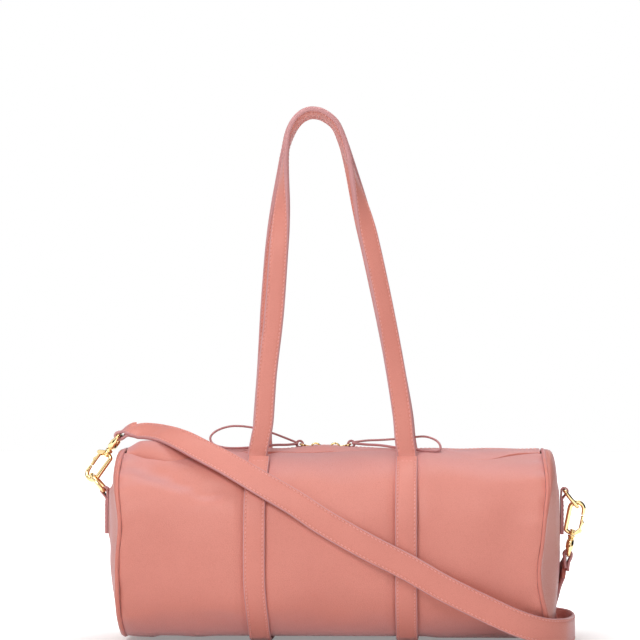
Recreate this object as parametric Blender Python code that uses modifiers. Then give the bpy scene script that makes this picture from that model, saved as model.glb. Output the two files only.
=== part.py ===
"""Mini duffel bag with a zipped barrel body, belt straps, twin handles and a clip-on strap.

Units are metres, +Z is up, +X is the bag's right end and the front faces -Y. The origin is
the centre of the flat bottom, on the surface that the bag stands on.
"""
import math

import bmesh
import bpy
from mathutils import Matrix, Vector

# Driving dimensions of the body.
BODY_LENGTH = 0.276
BODY_DEPTH = 0.130
BODY_HEIGHT = 0.126
BODY_SINK = 0.0035
END_REACH = 0.0118
LEATHER = 0.0020
LINING = 0.0006
GAP = 0.0003
OVERRUN = 0.004
SECTION_EXPONENT = 2.3
DOME_EXPONENT = 5.0
DOME_ROUNDING = 3.0
END_LIFT = 0.0016
END_LIFT_RUN = 0.028

# Seams.
PIPING_RADIUS = 0.0016
PIPING_INSET = 0.0006
FLANGE_DEPTH = 0.0065
FLANGE_THICKNESS = 0.0010

# Zip.
ZIP_SEAM_HALF_WIDTH = 0.0190
ZIP_MOUTH_HALF_WIDTH = 0.0065
BAND_RIDGE = 0.0008
TAPE_THICKNESS = 0.0007
TAPE_HALF_WIDTH = 0.0170
TOOTH_PITCH = 0.0038
TOOTH_SPINE_OUTER = 0.0025
TOOTH_SPINE_INNER = 0.0015
TOOTH_REACH = 0.0008
TOOTH_THICKNESS = 0.0022
TOOTH_SPREAD = 0.0015
SPREAD_FULL = 0.0042
SPREAD_END = 0.0105
ZIP_MEETING_X = -0.0057

# Slider and its pull.
SLIDER_LENGTH = 0.0100
SLIDER_HEAD_GAP = 0.0028
SLIDER_PLATE = 0.0011
SLIDER_RIM = 0.0008
SLIDER_POST_HALF_WIDTH = 0.0004
BAIL_RADIUS = 0.0032
BAIL_WIRE = 0.0006
BAIL_AXIS_HEIGHT = 0.0009
PULL_TILT = math.radians(14.0)
PULL_INNER = 0.0011
PULL_THICKNESS = 0.0012
PULL_HALF_WIDTH = 0.0022
PULL_EYE_DISTANCE = 0.0090
PULL_EYE_RADIUS = 0.0013
PULL_EYE_RIM = 0.0010
HITCH_RADIUS = 0.0021
HITCH_WIRE = 0.00085
LACE_RADIUS = 0.0012

# Belts and handles.
BELT_SPACING = 0.098
BELT_WIDTH = 0.0150
BELT_THICKNESS = 0.0020
BELT_TOP_ANGLE = math.radians(63.0)
BELT_GROOVE_RUN = 0.0050
HANDLE_WIDTH = 0.0130
HANDLE_THICKNESS = 0.0034
HANDLE_RISE = 0.2305
HANDLE_TOP_OFFSET = 0.0080
HANDLE_LEAN = 0.0055
FOOT_CLEARANCE = 0.0014

# Hardware.
RING_WIRE = 0.0013
RING_INNER_WIDTH = 0.0168
RING_DEPTH = 0.0136
TAB_WIDTH = 0.0150
TAB_LEATHER = 0.0010
TAB_DROP = 0.0275
TAB_LENGTH = 0.0285
LEFT_RING_ANGLE = math.radians(130.0)
RIGHT_RING_ANGLE = math.radians(-52.0)
HOOK_WIRE = 0.0016
HOOK_HALF_WIDTH = 0.0046
HOOK_LENGTH = 0.0218
HOOK_COLLAR_RADIUS = 0.0029
HOOK_COLLAR_HEIGHT = 0.0024
POST_RADIUS = 0.0013
POST_HEAD_RADIUS = 0.0019
POST_HEAD_HEIGHT = 0.0010
POST_FLANGE_RADIUS = 0.0024
POST_FLANGE_HEIGHT = 0.0012
GATE_THICKNESS = 0.0024
GATE_HALF_DEPTH = 0.0009
GATE_THUMB = 0.0012
GATE_PIVOT_HEIGHT = 0.0036
GATE_END_HEIGHT = 0.0139
PIN_RADIUS = 0.0006
LUG_THICKNESS = 0.0010
LUG_RADIUS = 0.0015
EYE_WIRE = 0.0012
EYE_REACH = 0.0134
LEFT_HOOK_TILT = math.radians(234.2)
RIGHT_HOOK_TILT = math.radians(78.5)
LEFT_HOOK_SWIVEL = math.radians(28.0)
RIGHT_HOOK_SWIVEL = 0.0
LEFT_TAIL_BEND = math.radians(45.0)
RIGHT_TAIL_BEND = math.radians(-16.5)

# Crossbody strap.
STRAP_WIDTH = 0.0170
STRAP_THICKNESS = 0.0024
FOLD_LEATHER = 0.0018
FOLD_TAIL = 0.0090

# Counts and shares.
SECTION_STEPS = 30
BAND_STEPS = 5
TAPE_STEPS = 4
SLIDER_STEPS = 6
CORNER_STEPS = 3
DOME_RING_SHARES = (0.40, 0.68, 0.85, 0.94, 0.985, 1.0)
LINING_RING_SHARES = (0.60, 0.90, 1.0)
PIPING_SIDES = 5
HANDLE_STEPS_PER_POINT = 2
STRAP_STEPS_PER_POINT = 2
LACE_STEPS_PER_POINT = 2
TURNED_STEPS = 12
ARC_STEPS = 8
TWIST_START_SHARE = 0.58
TWIST_END_SHARE = 0.92
LEAN_FULL_SHARE = 0.6
HANDLE_BOW_POWER = 1.3
FOOT_ANGLE_NUDGE = math.radians(0.6)
FOLD_WRAP = math.radians(34.0)
FOLD_NECK_SHARE = 1.3
FOLD_THROAT_SHARE = 0.8
POST_SHOULDER_SHARES = (0.72, 0.44, 0.20)
LUG_ARC = (math.radians(-60.0), math.radians(150.0))

# Handle arch, left foot to right foot: share of half the belt spacing, share of the rise.
HANDLE_ARCH_SHARES = (
    (-1.000, 0.000), (-0.965, 0.045), (-0.945, 0.110), (-0.888, 0.231), (-0.808, 0.404),
    (-0.747, 0.577), (-0.698, 0.737), (-0.637, 0.857), (-0.510, 0.950), (-0.265, 1.000),
    (-0.040, 0.960), (0.153, 0.879), (0.296, 0.784), (0.490, 0.628), (0.684, 0.434),
    (0.847, 0.253), (0.940, 0.118), (0.968, 0.045), (1.000, 0.000),
)

# Strap route from the left snap hook to the right one: place, then the way its face looks.
STRAP_ROUTE = (
    ((-0.1387, 0.0000, 0.1389), (-0.16, 0.00, 0.99)),
    ((-0.1336, 0.0000, 0.1397), (-0.14, 0.00, 0.99)),
    ((-0.1268, -0.0018, 0.1402), (-0.07, -0.18, 0.98)),
    ((-0.1182, -0.0090, 0.1382), (0.00, -0.52, 0.85)),
    ((-0.1090, -0.0185, 0.1358), (0.02, -0.68, 0.73)),
    ((-0.0980, -0.0290, 0.1320), (0.02, -0.76, 0.65)),
    ((-0.0840, -0.0395, 0.1254), (0.02, -0.81, 0.59)),
    ((-0.0680, -0.0490, 0.1178), (0.01, -0.84, 0.54)),
    ((-0.0523, -0.0572, 0.1092), (0.00, -0.87, 0.49)),
    ((-0.0403, -0.0614, 0.1025), (0.00, -0.90, 0.43)),
    ((-0.0220, -0.0655, 0.0921), (0.00, -0.94, 0.34)),
    ((-0.0031, -0.0678, 0.0798), (0.00, -0.98, 0.20)),
    ((0.0230, -0.0694, 0.0653), (0.00, -1.00, 0.06)),
    ((0.0498, -0.0706, 0.0518), (0.02, -1.00, -0.02)),
    ((0.0730, -0.0710, 0.0386), (0.05, -1.00, -0.03)),
    ((0.0994, -0.0700, 0.0255), (0.12, -0.99, -0.02)),
    ((0.1200, -0.0665, 0.0160), (0.26, -0.96, 0.00)),
    ((0.1380, -0.0582, 0.0103), (0.55, -0.83, 0.00)),
    ((0.1512, -0.0438, 0.0089), (0.80, -0.60, 0.00)),
    ((0.1570, -0.0225, 0.0087), (0.96, -0.28, 0.00)),
    ((0.1595, 0.0010, 0.0087), (1.00, -0.04, 0.00)),
    ((0.1590, 0.0250, 0.0087), (0.99, 0.14, 0.00)),
    ((0.1552, 0.0470, 0.0087), (0.94, 0.34, 0.00)),
    ((0.1450, 0.0710, 0.0087), (0.78, 0.62, 0.00)),
    ((0.1280, 0.0890, 0.0087), (0.50, 0.87, 0.00)),
    ((0.1000, 0.0985, 0.0087), (0.20, 0.98, 0.00)),
    ((0.0550, 0.1030, 0.0087), (0.06, 1.00, 0.00)),
    ((0.0000, 0.1035, 0.0087), (0.00, 1.00, 0.00)),
    ((-0.0550, 0.1020, 0.0087), (-0.04, 1.00, 0.00)),
    ((-0.0900, 0.1000, 0.0087), (-0.08, 1.00, 0.00)),
    ((-0.1060, 0.0955, 0.0087), (-0.50, 0.87, 0.00)),
    ((-0.1130, 0.0860, 0.0087), (-1.00, 0.10, 0.00)),
    ((-0.1065, 0.0765, 0.0087), (-0.50, -0.87, 0.00)),
    ((-0.0900, 0.0720, 0.0087), (-0.08, -1.00, 0.00)),
    ((-0.0400, 0.0705, 0.0087), (0.00, -1.00, 0.00)),
    ((0.0200, 0.0705, 0.0087), (0.00, -1.00, 0.00)),
    ((0.0750, 0.0715, 0.0087), (-0.02, -1.00, 0.00)),
    ((0.1080, 0.0705, 0.0092), (-0.12, -0.99, 0.00)),
    ((0.1310, 0.0655, 0.0110), (-0.42, -0.90, 0.00)),
    ((0.1460, 0.0550, 0.0145), (-0.80, -0.60, 0.00)),
    ((0.1520, 0.0400, 0.0198), (-0.97, -0.22, 0.00)),
    ((0.1531, 0.0240, 0.0262), (-1.00, -0.05, 0.00)),
    ((0.1537, 0.0105, 0.0335), (-1.00, 0.00, 0.03)),
    ((0.1533, 0.0025, 0.0412), (-1.00, 0.00, 0.08)),
    ((0.1527, 0.0000, 0.0483), (-1.00, 0.00, 0.09)),
)

# Lace routes, each a loop that leaves its hitch and comes back to it, with its height above
# the body's top.
LEFT_LACE_ROUTE = (
    (-0.0262, -0.0016, 0.0052), (-0.0330, -0.0030, 0.0078), (-0.0430, -0.0050, 0.0115),
    (-0.0550, -0.0070, 0.0146), (-0.0670, -0.0090, 0.0154), (-0.0765, -0.0110, 0.0128),
    (-0.0813, -0.0135, 0.0082), (-0.0790, -0.0165, 0.0035), (-0.0710, -0.0185, 0.0012),
    (-0.0610, -0.0180, 0.0010), (-0.0500, -0.0140, 0.0018), (-0.0390, -0.0090, 0.0029),
    (-0.0310, -0.0050, 0.0030), (-0.0259, -0.0040, 0.0032),
)
RIGHT_LACE_ROUTE = (
    (0.0148, 0.0010, 0.0056), (0.0220, -0.0005, 0.0058), (0.0310, -0.0030, 0.0062),
    (0.0420, -0.0060, 0.0070), (0.0530, -0.0100, 0.0082), (0.0610, -0.0150, 0.0086),
    (0.0675, -0.0205, 0.0065), (0.0707, -0.0250, 0.0030), (0.0700, -0.0275, -0.0002),
    (0.0640, -0.0270, -0.0006), (0.0540, -0.0230, 0.0002), (0.0420, -0.0175, 0.0014),
    (0.0310, -0.0110, 0.0028), (0.0220, -0.0055, 0.0032), (0.0146, -0.0022, 0.0034),
)

# Worked out from the sizes above.
HALF_LENGTH = BODY_LENGTH / 2
HALF_DEPTH = BODY_DEPTH / 2
SECTION_CENTRE_Z = BODY_HEIGHT / 2
UPPER_HALF = BODY_HEIGHT / 2
LOWER_HALF = BODY_HEIGHT / 2 + BODY_SINK
SEAM_SETBACK = PIPING_RADIUS + GAP
BARREL_HALF = HALF_LENGTH - SEAM_SETBACK
BELT_LIFT = BELT_THICKNESS + GAP
BELT_HALF_SPACING = BELT_SPACING / 2
TAPE_INSET = LEATHER + GAP
TOOTH_CENTRE_Z = BODY_HEIGHT - TAPE_INSET - TAPE_THICKNESS / 2
SLIDER_CHANNEL_HALF = TOOTH_THICKNESS / 2 + GAP
SLIDER_HALF_HEIGHT = SLIDER_CHANNEL_HALF + SLIDER_PLATE
BAIL_AXIS_Z = TOOTH_CENTRE_Z + SLIDER_HALF_HEIGHT + BAIL_AXIS_HEIGHT
SLIDER_OFFSET = SLIDER_HEAD_GAP / 2 + SLIDER_LENGTH / 2
TAB_TOP = BODY_HEIGHT - TAB_DROP
TAB_BOTTOM = TAB_TOP - TAB_LENGTH
SIDES = (("left", -1.0), ("right", 1.0))
FACES = (("front", -1.0), ("back", 1.0))

LEATHER_COLOR = (0.72, 0.26, 0.20, 1.0)
EDGE_COLOR = (0.45, 0.25, 0.23, 1.0)
LINING_COLOR = (0.55, 0.42, 0.35, 1.0)
TAPE_COLOR = (0.62, 0.27, 0.21, 1.0)
GOLD_COLOR = (0.86, 0.62, 0.30, 1.0)


def clear_scene():
    """Remove whatever the file starts with."""
    for item in list(bpy.data.objects):
        bpy.data.objects.remove(item, do_unlink=True)


def new_collection(name):
    """Add a collection to the scene."""
    collection = bpy.data.collections.new(name)
    bpy.context.scene.collection.children.link(collection)
    return collection


def new_material(name, color, roughness, metallic=0.0):
    """Make a plain Principled BSDF material."""
    material = bpy.data.materials.new(name)
    material.use_nodes = True
    shader = material.node_tree.nodes["Principled BSDF"]
    shader.inputs["Base Color"].default_value = color
    shader.inputs["Roughness"].default_value = roughness
    shader.inputs["Metallic"].default_value = metallic
    return material


clear_scene()
BAG = new_collection("mini_duffel_bag")
CUTTERS = new_collection("cutters")


def leather(name):
    """Grained leather for one piece."""
    return new_material(name + "_leather", LEATHER_COLOR, 0.48)


def gold(name):
    """Polished gold-plated metal for one piece."""
    return new_material(name + "_gold", GOLD_COLOR, 0.16, 1.0)


def add_object(name, data, material=None, place=None, parent=None):
    """Link a mesh or curve as a piece of the bag.

    place is the object's matrix in the world, or in its parent's frame where it has one.
    """
    piece = bpy.data.objects.new(name, data)
    BAG.objects.link(piece)
    if material is not None:
        data.materials.append(material)
    if parent is not None:
        piece.parent = parent
    if place is not None:
        piece.matrix_local = place
    return piece


def make_cutter(piece):
    """Turn a piece into a hidden Boolean tool."""
    BAG.objects.unlink(piece)
    CUTTERS.objects.link(piece)
    piece.hide_render = True
    piece.display_type = 'WIRE'
    return piece


def combine(piece, tool, operation):
    """Cut or join a piece with a tool that becomes a hidden cutter."""
    boolean = piece.modifiers.new(operation.lower() + "_" + tool.name, 'BOOLEAN')
    boolean.operation = operation
    boolean.object = make_cutter(tool)
    return piece


def smooth(piece, angle=math.radians(40.0)):
    """Shade a mesh smooth but for its sharp edges."""
    piece.data.shade_smooth()
    piece.data.set_sharp_from_angle(angle=angle)
    return piece


def grid_mesh(name, rows, closed=False):
    """Make an open sheet from rows of points; closed joins each row's end to its start."""
    mesh = bpy.data.meshes.new(name)
    builder = bmesh.new()
    lines = [[builder.verts.new(point) for point in row] for row in rows]
    for first, second in zip(lines, lines[1:]):
        count = len(first)
        last = count if closed else count - 1
        for index in range(last):
            following = (index + 1) % count
            builder.faces.new((first[index], second[index], second[following], first[following]))
    builder.to_mesh(mesh)
    builder.free()
    return mesh


def thicken(piece, thickness, side):
    """Give a sheet its thickness; side is 1 outwards, -1 inwards, 0 to both sides."""
    solid = piece.modifiers.new("thickness", 'SOLIDIFY')
    solid.thickness = thickness
    solid.offset = side
    solid.use_even_offset = True
    return piece


def shell(name, rows, material, thickness, side, place=None, parent=None, closed=False):
    """A sheet of rows of points with a thickness."""
    piece = add_object(name, grid_mesh(name, rows, closed), material, place, parent)
    return smooth(thicken(piece, thickness, side))


def placed_at(point):
    """A matrix that only moves."""
    return Matrix.Translation(point)


def shifted(rows, origin):
    """Rows of points measured from an origin."""
    return [[Vector(point) - Vector(origin) for point in row] for row in rows]


def flat_outline(name, outlines, half_thickness, material, place=None, parent=None):
    """A flat solid from closed outlines in its local XY plane; the later ones are holes."""
    data = bpy.data.curves.new(name, 'CURVE')
    data.dimensions = '2D'
    data.fill_mode = 'BOTH'
    data.extrude = half_thickness
    data.resolution_u = 1
    data.render_resolution_u = 0
    for outline in outlines:
        spline = data.splines.new('POLY')
        spline.points.add(len(outline) - 1)
        for point, (x, y) in zip(spline.points, outline):
            point.co = (x, y, 0.0, 1.0)
        spline.use_cyclic_u = True
    return as_mesh(add_object(name, data, None, place, parent), material)


def tube(name, points, radius, material, closed=False, radii=None, place=None, parent=None,
         sides=2):
    """A round wire through the points."""
    data = bpy.data.curves.new(name, 'CURVE')
    data.dimensions = '3D'
    data.bevel_depth = radius
    data.bevel_resolution = sides
    data.use_fill_caps = True
    data.render_resolution_u = 0
    spline = data.splines.new('POLY')
    spline.points.add(len(points) - 1)
    for index, (target, point) in enumerate(zip(spline.points, points)):
        target.co = (*point, 1.0)
        target.radius = radii[index] if radii else 1.0
    spline.use_cyclic_u = closed
    return as_mesh(add_object(name, data, None, place, parent), material)


def as_mesh(piece, material):
    """Turn a curve object into a welded mesh object of the same name and place."""
    bpy.context.view_layer.update()
    name = piece.name
    parent = piece.parent
    place = piece.matrix_local.copy()
    evaluated = piece.evaluated_get(bpy.context.evaluated_depsgraph_get())
    mesh = bpy.data.meshes.new_from_object(evaluated)
    bpy.data.objects.remove(piece, do_unlink=True)
    builder = bmesh.new()
    builder.from_mesh(mesh)
    bmesh.ops.remove_doubles(builder, verts=builder.verts, dist=GAP / 30)
    bmesh.ops.recalc_face_normals(builder, faces=builder.faces)
    builder.to_mesh(mesh)
    builder.free()
    mesh.name = name
    mesh.materials.clear()
    return smooth(add_object(name, mesh, material, place, parent))


def cylinder(name, radius, depth, place=None, parent=None, material=None):
    """A cylinder along its local Z, centred on its origin."""
    mesh = bpy.data.meshes.new(name)
    builder = bmesh.new()
    bmesh.ops.create_cone(builder, cap_ends=True, segments=TURNED_STEPS, radius1=radius,
                          radius2=radius, depth=depth)
    builder.to_mesh(mesh)
    builder.free()
    return smooth(add_object(name, mesh, material, place, parent))


def turned(name, profile, material=None, place=None, parent=None):
    """A solid of revolution about local Z; the profile runs down from top to bottom."""
    mesh = bpy.data.meshes.new(name)
    edges = [(index, index + 1) for index in range(len(profile) - 1)]
    mesh.from_pydata([(radius, 0.0, height) for radius, height in profile], edges, [])
    piece = add_object(name, mesh, material, place, parent)
    screw = piece.modifiers.new("turn", 'SCREW')
    screw.axis = 'Z'
    screw.steps = TURNED_STEPS
    screw.render_steps = TURNED_STEPS
    screw.use_merge_vertices = True
    screw.merge_threshold = GAP / 30
    screw.use_smooth_shade = False
    return piece


def smoothstep(value):
    """Ease from 0 to 1."""
    value = min(max(value, 0.0), 1.0)
    return value * value * (3.0 - 2.0 * value)


def spline_through(points, steps):
    """Points on a smooth curve through the given points, ends included."""
    points = [Vector(point) for point in points]
    padded = [points[0] * 2 - points[1]] + points + [points[-1] * 2 - points[-2]]
    result = []
    for index in range(1, len(padded) - 2):
        before, start, end, after = padded[index - 1:index + 3]
        for step in range(steps):
            share = step / steps
            result.append(0.5 * (2 * start + (end - before) * share
                                 + (2 * before - 5 * start + 4 * end - after) * share ** 2
                                 + (3 * start - before - 3 * end + after) * share ** 3))
    result.append(points[-1])
    return result


def arc(centre, radius, start, end, steps=ARC_STEPS):
    """Points on an arc in a plane, both ends included."""
    angles = [start + (end - start) * step / steps for step in range(steps + 1)]
    return [(centre[0] + radius * math.cos(angle), centre[1] + radius * math.sin(angle))
            for angle in angles]


def tangents(points):
    """Unit directions along a run of points."""
    result = []
    for index in range(len(points)):
        ahead = points[min(index + 1, len(points) - 1)]
        behind = points[max(index - 1, 0)]
        result.append((ahead - behind).normalized())
    return result


def signed_power(value, exponent):
    """A power that keeps the sign."""
    return math.copysign(abs(value) ** exponent, value)


def floor_lift(x):
    """How far the leather's underside stands off the ground: over a belt and near an end."""
    end = END_LIFT * max(0.0, (abs(x) - HALF_LENGTH + END_LIFT_RUN) / END_LIFT_RUN) ** 2
    beyond_belt = abs(abs(x) - BELT_HALF_SPACING) - BELT_WIDTH / 2 - GAP * 2
    groove = BELT_LIFT * (1.0 - smoothstep(beyond_belt / BELT_GROOVE_RUN))
    return max(end, groove)


def section_point(angle, grow, lift):
    """A (y, z) point on the body's cross-section, grown outwards by a distance."""
    cosine = signed_power(math.cos(angle), 2.0 / SECTION_EXPONENT)
    sine = signed_power(math.sin(angle), 2.0 / SECTION_EXPONENT)
    half = UPPER_HALF if sine > 0 else LOWER_HALF
    z = SECTION_CENTRE_Z + (half + grow) * sine
    return (HALF_DEPTH + grow) * cosine, max(z, lift - grow)


def section_angle(half_width, grow):
    """The angle above the horizontal where the section is this far from the middle plane."""
    share = half_width / (HALF_DEPTH + grow)
    return math.acos(share ** (SECTION_EXPONENT / 2.0))


def section_run(start, end, steps):
    """Angles from the front's start down under the bottom and up to the back's end."""
    return [math.pi - start + (math.pi + start + end) * step / steps for step in range(steps + 1)]


def belt_angles():
    """The barrel's section angles that lie under a belt, between the belt's own ends."""
    top = section_angle(ZIP_SEAM_HALF_WIDTH, 0.0)
    ends = section_run(BELT_TOP_ANGLE, BELT_TOP_ANGLE, 1)
    inside = [angle for angle in section_run(top, top, SECTION_STEPS)
              if ends[0] < angle < ends[1]]
    return [ends[0], *inside, ends[1]]


def barrel_rows(half_width, inset, stations):
    """Rows along the section for a sheet that lies inside the barrel's surface.

    stations pairs each place along the barrel with the lift of the underside there.
    """
    top = section_angle(half_width, -inset)
    rows = []
    for angle in section_run(top, top, SECTION_STEPS):
        row = []
        for x, lift in stations:
            y, z = section_point(angle, -inset, lift)
            row.append((x, y, z))
        rows.append(row)
    return rows


def barrel_stations():
    """Places along the barrel where its underside changes."""
    edge = BELT_WIDTH / 2 + GAP * 2
    half = [BELT_HALF_SPACING + distance for distance in
            (-edge - BELT_GROOVE_RUN, -edge, edge, edge + BELT_GROOVE_RUN)]
    half += [HALF_LENGTH - END_LIFT_RUN, BARREL_HALF]
    return [-x for x in reversed(half)] + half


def build_barrel():
    """The leather panel round the front, bottom and back, open at the top for the zip."""
    stations = [(x, floor_lift(x)) for x in barrel_stations()]
    rows = barrel_rows(ZIP_SEAM_HALF_WIDTH, 0.0, stations)
    return shell("barrel_panel", rows, leather("barrel_panel"), LEATHER, -1)


def build_barrel_lining():
    """The fabric lining inside the barrel, up to the edges of the zip tapes."""
    stations = [(-BARREL_HALF, BELT_LIFT), (BARREL_HALF, BELT_LIFT)]
    rows = barrel_rows(TAPE_HALF_WIDTH + GAP, LEATHER + GAP, stations)
    material = new_material("lining_barrel_fabric", LINING_COLOR, 0.9)
    return shell("lining_barrel", rows, material, LINING, -1)


def dome_x(radial_share, reach):
    """How far an end panel stands out at a share of its radius."""
    return reach * (1.0 - radial_share ** DOME_EXPONENT) ** (1.0 / DOME_ROUNDING)


def dome_rows(side, inset, shares):
    """Rings of points from the middle of an end panel to its rim."""
    reach = END_REACH - SEAM_SETBACK
    rim = HALF_LENGTH + SEAM_SETBACK
    rows = []
    for share in shares:
        row = []
        for step in range(SECTION_STEPS):
            angle = 2.0 * math.pi * step / SECTION_STEPS
            y, z = section_point(angle, -inset, END_LIFT)
            row.append((side * (rim + dome_x(share, reach - inset)), y * share,
                        SECTION_CENTRE_Z + (z - SECTION_CENTRE_Z) * share))
        rows.append(row)
    return rows if side < 0 else rows[::-1]


def dome_shell(name, side, inset, shares, thickness, material):
    """A domed end sheet with its middle closed by a fan."""
    rows = dome_rows(side, inset, shares)
    mesh = grid_mesh(name, rows, closed=True)
    builder = bmesh.new()
    builder.from_mesh(mesh)
    builder.verts.ensure_lookup_table()
    middle = 0 if side < 0 else (len(rows) - 1) * SECTION_STEPS
    ring = [builder.verts[middle + step] for step in range(SECTION_STEPS)]
    centre = sum((vert.co for vert in ring), Vector()) / SECTION_STEPS
    tip = builder.verts.new(centre)
    for step in range(SECTION_STEPS):
        pair = (ring[step], ring[(step + 1) % SECTION_STEPS])
        if side < 0:
            pair = pair[::-1]
        builder.faces.new((tip, *pair))
    bmesh.ops.recalc_face_normals(builder, faces=builder.faces)
    facing = sum((face.normal.x for face in builder.faces))
    if facing * side < 0:
        bmesh.ops.reverse_faces(builder, faces=builder.faces)
    builder.to_mesh(mesh)
    builder.free()
    piece = add_object(name, mesh, material)
    return smooth(thicken(piece, thickness, -1))


def build_ends():
    """Domed end panels, each with its lining."""
    for name, side in SIDES:
        dome_shell("end_panel_" + name, side, 0.0, DOME_RING_SHARES, LEATHER,
                   leather("end_panel_" + name))
        material = new_material("lining_end_fabric_" + name, LINING_COLOR, 0.9)
        dome_shell("lining_end_" + name, side, LEATHER + GAP, LINING_RING_SHARES, LINING, material)


def piping_section():
    """Bead and flange outline as (along x, inset) pairs, seen across the seam."""
    half_flange = FLANGE_THICKNESS / 2
    opening = math.asin(half_flange / PIPING_RADIUS)
    start = -math.pi / 2 + opening
    bead = [(PIPING_RADIUS * math.cos(turn), PIPING_INSET - PIPING_RADIUS * math.sin(turn))
            for turn in [start + (2 * math.pi - 2 * opening) * step / PIPING_SIDES
                         for step in range(PIPING_SIDES + 1)]]
    return bead + [(-half_flange, FLANGE_DEPTH), (half_flange, FLANGE_DEPTH)]


def build_piping():
    """The bead in each end seam, with the flange that is sewn between the panels."""
    for name, side in SIDES:
        rows = []
        for step in range(SECTION_STEPS):
            angle = 2.0 * math.pi * step / SECTION_STEPS
            row = []
            for along, inset in piping_section():
                y, z = section_point(angle, -inset, END_LIFT)
                row.append((side * HALF_LENGTH + along, y, z))
            rows.append(row)
        rows.append(rows[0])
        mesh = grid_mesh("piping_" + name, rows, closed=True)
        builder = bmesh.new()
        builder.from_mesh(mesh)
        bmesh.ops.remove_doubles(builder, verts=builder.verts, dist=GAP / 30)
        bmesh.ops.recalc_face_normals(builder, faces=builder.faces)
        builder.to_mesh(mesh)
        builder.free()
        smooth(add_object("piping_" + name, mesh, leather("piping_" + name)))


def zip_x_stations():
    """Places along the zip, closer together where the teeth part."""
    spread = [ZIP_MEETING_X + side * distance for side in (-1.0, 1.0)
              for distance in (SPREAD_FULL, (SPREAD_FULL + SPREAD_END) / 2, SPREAD_END)]
    return sorted([-BARREL_HALF, *spread, BARREL_HALF])


def build_zip_bands():
    """The leather band on each side of the zip, a low ridge that meets the panel's seam."""
    outer = ZIP_SEAM_HALF_WIDTH - GAP
    for name, face in FACES:
        rows = []
        for step in range(BAND_STEPS + 1):
            share = step / BAND_STEPS
            half_width = outer + (ZIP_MOUTH_HALF_WIDTH - outer) * share
            _, z = section_point(section_angle(half_width, 0.0), 0.0, 0.0)
            ridge = BAND_RIDGE * math.sin(math.pi * share)
            rows.append([(x, face * half_width, z + ridge) for x in (-BARREL_HALF, BARREL_HALF)])
        if face > 0:
            rows = rows[::-1]
        rows = [row[::-1] for row in rows]
        shell("zip_band_" + name, rows, leather("zip_band_" + name), LEATHER, -1)


def tooth_spread(x):
    """How far a row of teeth stands out from its closed place."""
    distance = abs(x - ZIP_MEETING_X)
    return TOOTH_SPREAD * smoothstep((SPREAD_END - distance) / (SPREAD_END - SPREAD_FULL))


def build_zip_tapes():
    """The fabric tapes that carry the teeth, under the bands."""
    for name, face in FACES:
        rows = []
        for step in range(TAPE_STEPS + 1):
            row = []
            for x in zip_x_stations():
                inner = TOOTH_SPINE_OUTER + GAP + tooth_spread(x)
                half_width = TAPE_HALF_WIDTH + (inner - TAPE_HALF_WIDTH) * step / TAPE_STEPS
                angle = section_angle(half_width, -TAPE_INSET)
                _, z = section_point(angle, -TAPE_INSET, 0.0)
                row.append((x, face * half_width, z))
            rows.append(row)
        if face > 0:
            rows = rows[::-1]
        rows = [row[::-1] for row in rows]
        material = new_material("zip_tape_fabric_" + name, TAPE_COLOR, 0.85)
        shell("zip_tape_" + name, rows, material, TAPE_THICKNESS, -1)


def build_zip_teeth():
    """A row of teeth on each tape; the rows interlock and part round the sliders' posts."""
    count = int((2 * BARREL_HALF - TOOTH_PITCH) / TOOTH_PITCH)
    tooth = TOOTH_PITCH / 2 - GAP
    start = -count * TOOTH_PITCH / 2
    for name, face in FACES:
        shift = TOOTH_PITCH / 2 if face > 0 else 0.0
        inner = []
        for index in range(count):
            left = start + shift + index * TOOTH_PITCH
            for x, reach in ((left, False), (left, True), (left + tooth, True),
                             (left + tooth, False)):
                y = -TOOTH_REACH if reach else TOOTH_SPINE_INNER
                inner.append((x, face * (y + tooth_spread(x))))
        ends = (inner[0][0], inner[-1][0])
        spine = [(x, face * (TOOTH_SPINE_OUTER + tooth_spread(x)))
                 for x in (ends[0], *zip_x_stations()[1:-1], ends[1])]
        outline = inner + spine[::-1]
        place = placed_at((0.0, 0.0, TOOTH_CENTRE_Z))
        flat_outline("zip_teeth_" + name, [outline], TOOTH_THICKNESS / 2,
                     gold("zip_teeth_" + name), place)


def slider_outline(side, extra, reach):
    """Half-widths along a slider, wide at its head, as a closed outline."""
    top = []
    for step in range(SLIDER_STEPS + 1):
        along = -reach + 2 * reach * step / SLIDER_STEPS
        x = side * (SLIDER_OFFSET - along)
        half = TOOTH_SPINE_OUTER + GAP + tooth_spread(ZIP_MEETING_X + x) + extra
        top.append((-side * along, half))
    return top + [(x, -y) for x, y in reversed(top)]


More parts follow.
